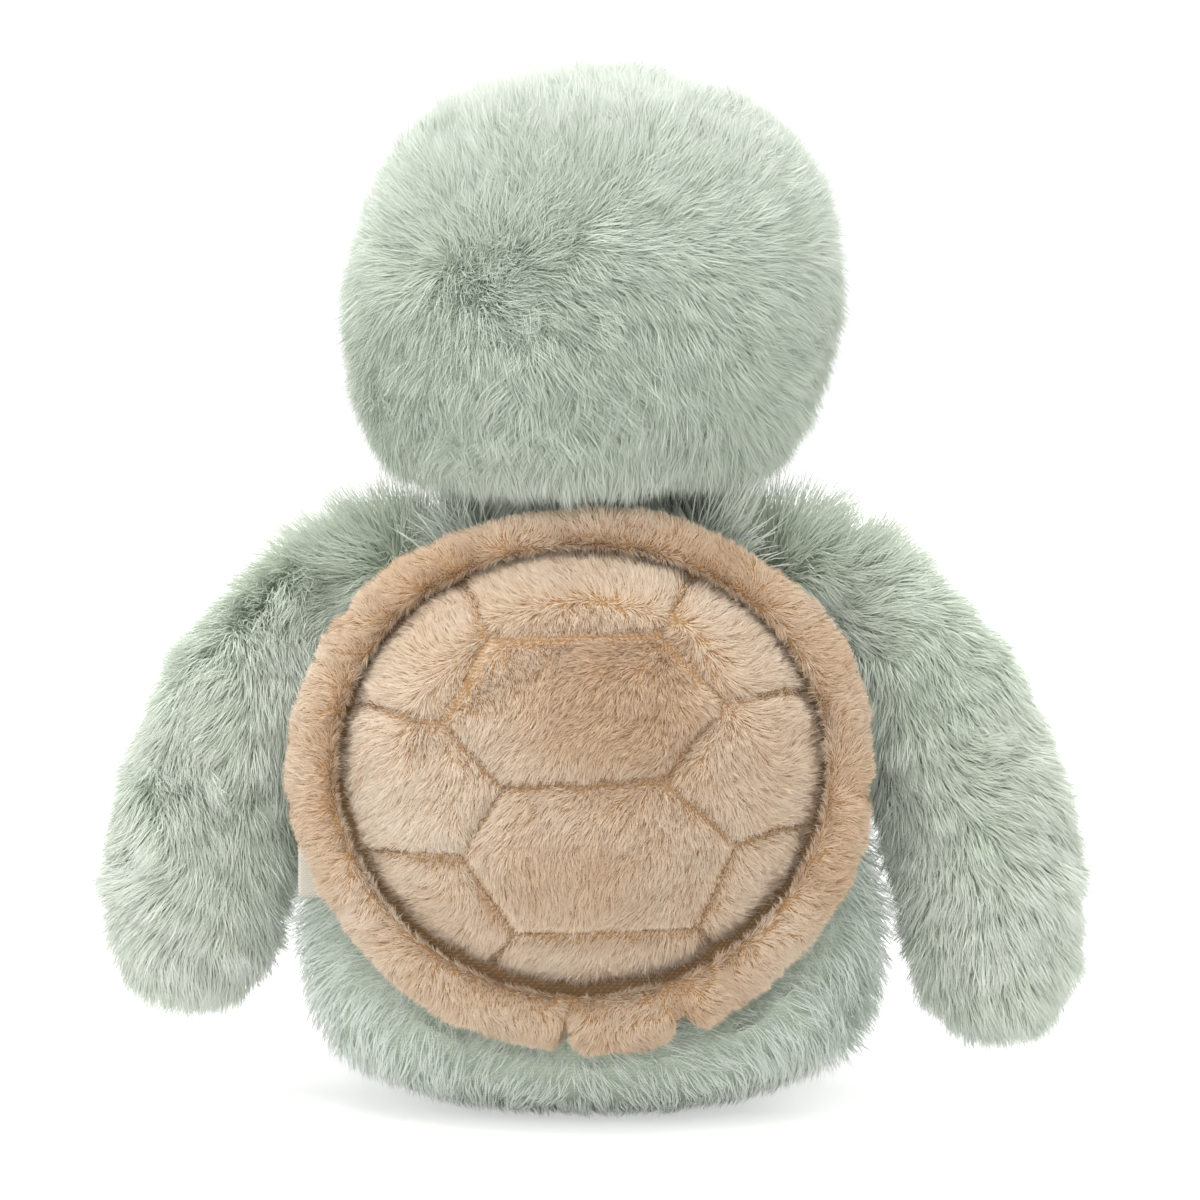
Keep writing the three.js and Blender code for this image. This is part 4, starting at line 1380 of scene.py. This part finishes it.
    def seam_distance(self, across: Values, up: Values) -> Values:
        """Measure to the nearest quilting seam.

        Args:
            across: Measures across the dome.
            up: Measures up the dome.

        Returns:
            The distances.
        """
        spots = np.stack([across, up], axis=-1)
        nearest = np.full(len(spots), 1.0)
        for seam in self.seams:
            start, end = (np.array(self.corners[c]) * (self.half_width, self.half_height) for c in seam)
            span = end - start
            share = np.clip(((spots - start) @ span) / (span @ span), 0, 1)[:, None]
            nearest = np.minimum(nearest, np.linalg.norm(spots - start - share * span, axis=1))
        return nearest

    def outer(self, a: Values, b: Values) -> Points:
        """Raise the dome's crown and draw it down at its quilting.

        Args:
            a: Shares of the dome's half width.
            b: Shares of the dome's half height.

        Returns:
            Points on the quilted cloth.
        """
        reach = np.hypot(a, b)
        round_off = np.sqrt(np.maximum(1 - np.clip(reach, 0, 1) ** self.crown_power, 0))
        seam = self.seam_distance(a * self.half_width, b * self.half_height)
        edge = at_least(self.edge_dip, soft_step(1 - reach, *self.edge_band))
        dip = self.quilt_depth * np.exp(-seam / self.quilt_reach) * edge
        out = (self.height - self.pile) * round_off - dip
        return self.place(a * (self.half_width + self.overlap),
                          b * (self.half_height + self.overlap) + self.offset_up,
                          np.maximum(out, self.least_height))

    @staticmethod
    def disc(name: str, cells: int) -> tuple[Piece, Values, Values]:
        """Add a grid and give its corners' shares of a round disc.

        Args:
            name: The piece's name.
            cells: The grid's cells along a side.

        Returns:
            The grid, and its corners' shares across and up.
        """
        deselect_all()
        bpy.ops.mesh.primitive_grid_add(x_subdivisions=cells, y_subdivisions=cells, size=2)
        piece = named(name)
        x, y, _ = mesh_points(piece.data).T
        return piece, -x * np.sqrt(1 - y ** 2 / 2), y * np.sqrt(1 - x ** 2 / 2)

    def build_back(self) -> None:
        """Build the beige cloth that joins the dome to the rim, in darkened knit that paints the shade in the
        gap between them.
        """
        back, a, b = self.disc("shell_back_cloth", self.back_cells)
        lift = np.full(len(a), self.back_lift)
        set_points(back.data, self.place(a * self.bend_width, b * self.bend_height, lift))
        apply_modifier(back, "SOLIDIFY", thickness=self.back_thickness, offset=-1.0)
        bpy.ops.object.shade_smooth()
        attach(back, SHADE_DARKENED_BACKING_KNIT, "torso", "backing_cloth", "shell_backing")

    def build_dome(self) -> None:
        """Build the quilted dome, its pile and its stitches."""
        dome, a, b = self.disc("shell_dome", self.cells)
        set_points(dome.data, self.outer(a, b))
        seam = self.seam_distance(a * self.half_width, b * self.half_height)
        edge = (np.hypot(a, b) > self.held_edge).astype(float)
        inflate(dome, np.maximum(soft_drop(seam, *self.held_band), edge), cap=3 * MM, pressure=6.0)
        apply_modifier(dome, "SUBSURF", levels=1, render_levels=1)
        self.close_back()
        bpy.ops.object.shade_smooth()
        dress(dome, SHADE_DARKENED_BACKING_KNIT, "torso", "beige_pile", 0.6, "shell_dome_cover", "shell_stuffing")
        Pile("shell_pile", dome, BEIGE, "beige_pile", "torso", 165000, 4.6 * MM, 0.28 * MM, self.outward, 300,
             lift=0.42, knees=STRAIGHT, shortness=self.stitched_down, tone=self.patched, swirl=0.7,
             swirl_size=45 * MM, droop=0.0, clump=1.6 * MM, gather=0.5, tone_spread=0.1,
             density=self.facing_out).grow()
        self.build_stitches()

    def close_back(self) -> None:
        """Turn the active dome's edge in and close it with a flat back."""
        with editing("DESELECT"):
            bpy.ops.mesh.select_mode(type="EDGE")
            bpy.ops.mesh.select_non_manifold()
            for inset, deep in self.closing:
                bpy.ops.mesh.extrude_region_move(TRANSFORM_OT_translate={"value": (0, deep, 0)})
                bpy.ops.transform.resize(value=(inset, 1, inset), center_override=self.centre)
            bpy.ops.mesh.merge(type="CENTER")
            bpy.ops.mesh.select_all(action="SELECT")
            bpy.ops.mesh.normals_make_consistent(inside=False)

    def stitched_down(self, points: Points) -> Values:
        """Shorten the pile in the seams."""
        return at_least(self.seam_length, soft_step(self.seam_distance(*self.flat(points)), *self.seam_band))

    def patched(self, points: Points) -> Values:
        """Darken the middle scutes in soft patches of crushed pile, and paint a highlight on the left ones.

        Args:
            points: Points on the dome.

        Returns:
            What each point's tone gains.
        """
        across, up = self.flat(points)
        tones = np.full(len(points), self.dome_tone)
        for x, y, wide, high, tone in self.patches:
            spot = ((across - x * MM) / (wide * MM)) ** 2 + ((up - y * MM) / (high * MM)) ** 2
            tones += tone * np.exp(-spot ** 2)
        return tones

    def facing_out(self, points: Points) -> Values:
        """Leave the dome's hidden back bare."""
        edge = self.place(*self.flat(points), np.full(len(points), self.least_height))
        return (points[:, 1] > edge[:, 1]).astype(float)

    def outward(self, points: Points) -> Points:
        """Comb down the dome, and outwards at its edge.

        Args:
            points: Points on the dome.

        Returns:
            The heading at each point.
        """
        across, up = self.flat(points)
        reach = np.hypot(across / self.half_width, up / self.half_height)
        edge = soft_step(reach, *self.outward_band)[:, None]
        out = unit(np.stack([across, np.zeros(len(points)), up], axis=1))
        return np.array(self.comb_way) * (1 - edge) + out * edge * self.comb_out

    def build_stitches(self) -> None:
        """Lay a thread stitch at every pitch along the quilting seams."""
        deselect_all()
        bpy.ops.mesh.primitive_uv_sphere_add(segments=6, ring_count=4, radius=1)
        ball = bpy.context.object
        shape = mesh_points(ball.data)
        ball_faces = [tuple(face.vertices) for face in ball.data.polygons]
        bpy.data.objects.remove(ball, do_unlink=True)
        long, wide, thick = self.stitch_size
        rows, faces = [], []
        for seam in self.seams:
            start, end = (np.array(self.corners[c]) for c in seam)
            length = np.linalg.norm((end - start) * (self.half_width, self.half_height))
            steps = max(2, round(length / self.stitch))
            spots = start + (end - start) * np.linspace(0, 1, 2 * steps + 1)[:, None]
            line = self.outer(spots[:, 0], spots[:, 1])
            for index in range(1, 2 * steps, 2):
                span = line[index + 1] - line[index - 1]
                side = unit(np.cross(unit(span), np.array([0.0, 1.0, 0.0])))
                out = np.cross(side, unit(span))
                faces += [tuple(corner + len(rows) * len(shape) for corner in face) for face in ball_faces]
                rows.append(line[index] + np.array(self.stitch_lift) + shape[:, :1] * span * long
                            + shape[:, 1:2] * side * wide + shape[:, 2:] * out * thick)
        mesh = bpy.data.meshes.new("shell_stitches")
        mesh.from_pydata(np.concatenate(rows).tolist(), [], faces)
        piece = add_piece("shell_stitches", mesh)
        take(piece)
        bpy.ops.object.shade_smooth()
        attach(piece, QUILT_THREAD, "torso", "seam_thread")
        LOG.info("shell_stitches: %d stitches", len(rows))

    def rim_line(self, angles: Values) -> Points:
        """Find the middle of the rolled rim.

        Args:
            angles: Angles round the shell, from the toy's left upwards.

        Returns:
            The rim's middle at each angle.
        """
        radius = self.rim_low + (self.rim_top - self.rim_low) * (1 + np.sin(angles)) / 2
        across, up = self.bend_width - radius, self.bend_height - radius
        return self.place(across * np.cos(angles), up * np.sin(angles), radius)

    def gathers(self, points: Points) -> tuple[Values, Points, Values]:
        """Say how deep points of the rim lie in its gathers.

        Args:
            points: Points on or near the rim.

        Returns:
            The depth of the gathers, the rim's middle nearest to each point, and that middle's angle.
        """
        turns = np.linspace(0, 2 * math.pi, self.rim_spots, endpoint=False)
        line = self.rim_line(turns)
        nearest = nearest_of(line, points)
        angle, middle = turns[nearest], line[nearest]
        inward = (unit(points - middle) * unit(np.array(self.centre) - middle)).sum(axis=1)
        inner = soft_step(inward, *self.inner_band)
        deep = np.zeros(len(points))
        for degrees, depth, width, outside in self.creases:
            away = (angle - math.radians(degrees) + math.pi) % (2 * math.pi) - math.pi
            fold = depth * np.exp(-(away * self.bend_height / (width * MM)) ** 2)
            deep += fold * at_least(outside, inner)
        return np.minimum(deep, self.deepest), middle, angle

    def crease(self, rim: Piece) -> None:
        """Draw the rolled rim in where it is gathered, and let it swell unevenly between.

        Args:
            rim: The rim's cloth form.
        """
        points = mesh_points(rim.data)
        deep, middle, angle = self.gathers(points)
        swell = sum(height * np.sin(times * angle + start) for height, times, start in self.swells)
        set_points(rim.data, middle + (points - middle) * (1 + swell - deep)[:, None])

    def build_rim(self) -> None:
        """Build the rolled rim and its pile."""
        rim = PaddedForm("shell_rim", self.rim_nodes, voxel=2.5 * MM, draw_in=1.2 * MM, smooth=4,
                         cap=1.2 * MM).build()
        self.crease(rim)
        dress(rim, SHADE_DARKENED_BACKING_KNIT, "torso", "beige_pile", 0.6, *self.rim_nodes)
        x, y, z = self.centre
        Pile("rim_pile", rim, BEIGE, "beige_pile", "torso", 155000, 4.1 * MM, 0.31 * MM,
             away_from((x, y + self.rim_source, z)), 400, lift=0.4, knees=STRAIGHT, droop=0.1, swirl=0.9,
             swirl_size=30 * MM, clump=2.2 * MM, gather=0.45, tone_base=0.3,
             shortness=lambda points: 1 - self.gathers(points)[0],
             # Painted shade: the pile darkens in the rim's gathers.
             tone=lambda points: self.gather_tone * self.gathers(points)[0]).grow()


@dataclass
class Studio:
    """The pale floor, the soft lamps and the camera."""

    distance: float = 2.4
    elevation: float = math.radians(6.5)
    target: Place = (-2.7 * MM, 0.0, 138.3 * MM)
    lamp_target: Place = (0, 0, 0.13)
    view_width: float = 324 * MM
    sensor: float = 36.0
    world_light: float = 0.66
    floor_size: float = 30
    floor_glow: float = 0.52
    lamps: tuple[tuple[str, Place, float], ...] = (("top_lamp", (0.15, 0.35, 1.35), 12.0),
                                                   ("shell_side_lamp", (0.5, 1.5, 0.4), 6.0),
                                                   ("face_side_lamp", (-0.5, -1.4, 0.6), 11.0))

    def build(self) -> None:
        """Build the camera, the world, the floor and the lamps."""
        self.build_camera()
        self.build_world()
        self.build_floor()
        for name, place, power in self.lamps:
            lamp = add_piece(name, bpy.data.lights.new(name, "AREA"))
            put(lamp.data, size=1.0, energy=power)
            way = Vector(self.lamp_target) - Vector(place)
            put(lamp, location=place, rotation_euler=way.to_track_quat("-Z", "Y").to_euler())

    def build_camera(self) -> None:
        """Place the camera behind and a little above the toy."""
        camera = add_piece("camera", bpy.data.cameras.new("camera"))
        put(camera.data, sensor_width=self.sensor, lens=self.sensor * self.distance / self.view_width,
            clip_start=0.05, clip_end=50)
        way = Vector((0, math.cos(self.elevation), math.sin(self.elevation)))
        put(camera, location=Vector(self.target) + way * self.distance,
            rotation_euler=(-way).to_track_quat("-Z", "Y").to_euler())
        bpy.context.scene.camera = camera

    def build_world(self) -> None:
        """Light the toy evenly and show plain white behind it."""
        scene = bpy.context.scene
        scene.view_settings.view_transform = "Standard"
        scene.world = bpy.data.worlds.new("studio")
        tree = self.cleared(scene.world)
        lit, shown = (add_node(tree, "Background", {"Color": WHITE, "Strength": strength}).outputs[0]
                      for strength in (self.world_light, 1.0))
        mix = add_node(tree, "MixShader", {0: self.seen(tree), 1: lit, 2: shown})
        add_node(tree, "OutputWorld", {"Surface": mix.outputs[0]})

    @staticmethod
    def cleared(owner: bpy.types.World | bpy.types.Material) -> Tree:
        """Turn a world's or a material's nodes on and empty them."""
        owner.use_nodes = True
        owner.node_tree.nodes.clear()
        return owner.node_tree

    @staticmethod
    def seen(tree: Tree) -> Socket:
        """Give 1 for rays from the camera, off gloss and through clear things."""
        rays = add_node(tree, "LightPath").outputs
        first = combine(tree, "MAXIMUM", rays["Is Camera Ray"], rays["Is Glossy Ray"])
        return combine(tree, "MAXIMUM", first, rays["Is Transmission Ray"])

    def build_floor(self) -> None:
        """Lay a pale floor that keeps the toy's soft shadow."""
        deselect_all()
        bpy.ops.mesh.primitive_plane_add(size=self.floor_size)
        floor = named("floor")
        material = bpy.data.materials.new("white_paper_sweep")
        tree = self.cleared(material)
        paper = add_node(tree, "BsdfDiffuse", {"Color": linear("#F4F4F4")})
        none, glow = (add_node(tree, "Emission", {"Color": WHITE, "Strength": strength}).outputs[0]
                      for strength in (0.0, self.floor_glow))
        shown = add_node(tree, "MixShader", {0: self.seen(tree), 1: none, 2: glow})
        both = add_node(tree, "AddShader", {0: paper.outputs[0], 1: shown.outputs[0]})
        add_node(tree, "OutputMaterial", {"Surface": both.outputs[0]})
        floor.data.materials.append(material)


def finish_nodes() -> None:
    """Give the nodes that stay as they are their own materials."""
    plans = {"mouth_stitch": FACE_THREAD}
    for side in Side:
        plans[f"{side.word}_nostril_stitch"] = FACE_THREAD
        plans[f"{side.word}_eye_washer"] = WASHER
    for name, finish in plans.items():
        materials = frame["nodes"][name].data.materials
        materials.clear()
        materials.append(finish.material())


def main() -> None:
    """Build the studio and the toy in order."""
    Studio().build()
    LOG.info("studio built")
    Torso().build()
    CareLabel().build()
    Shell().build()
    Head().build()
    for side in Side:
        for plan in (ARM, LEG):
            Limb(side=side, **plan).build()
    finish_nodes()


if __name__ == "__main__":
    logging.basicConfig(level=logging.INFO, format="%(message)s")
    main()
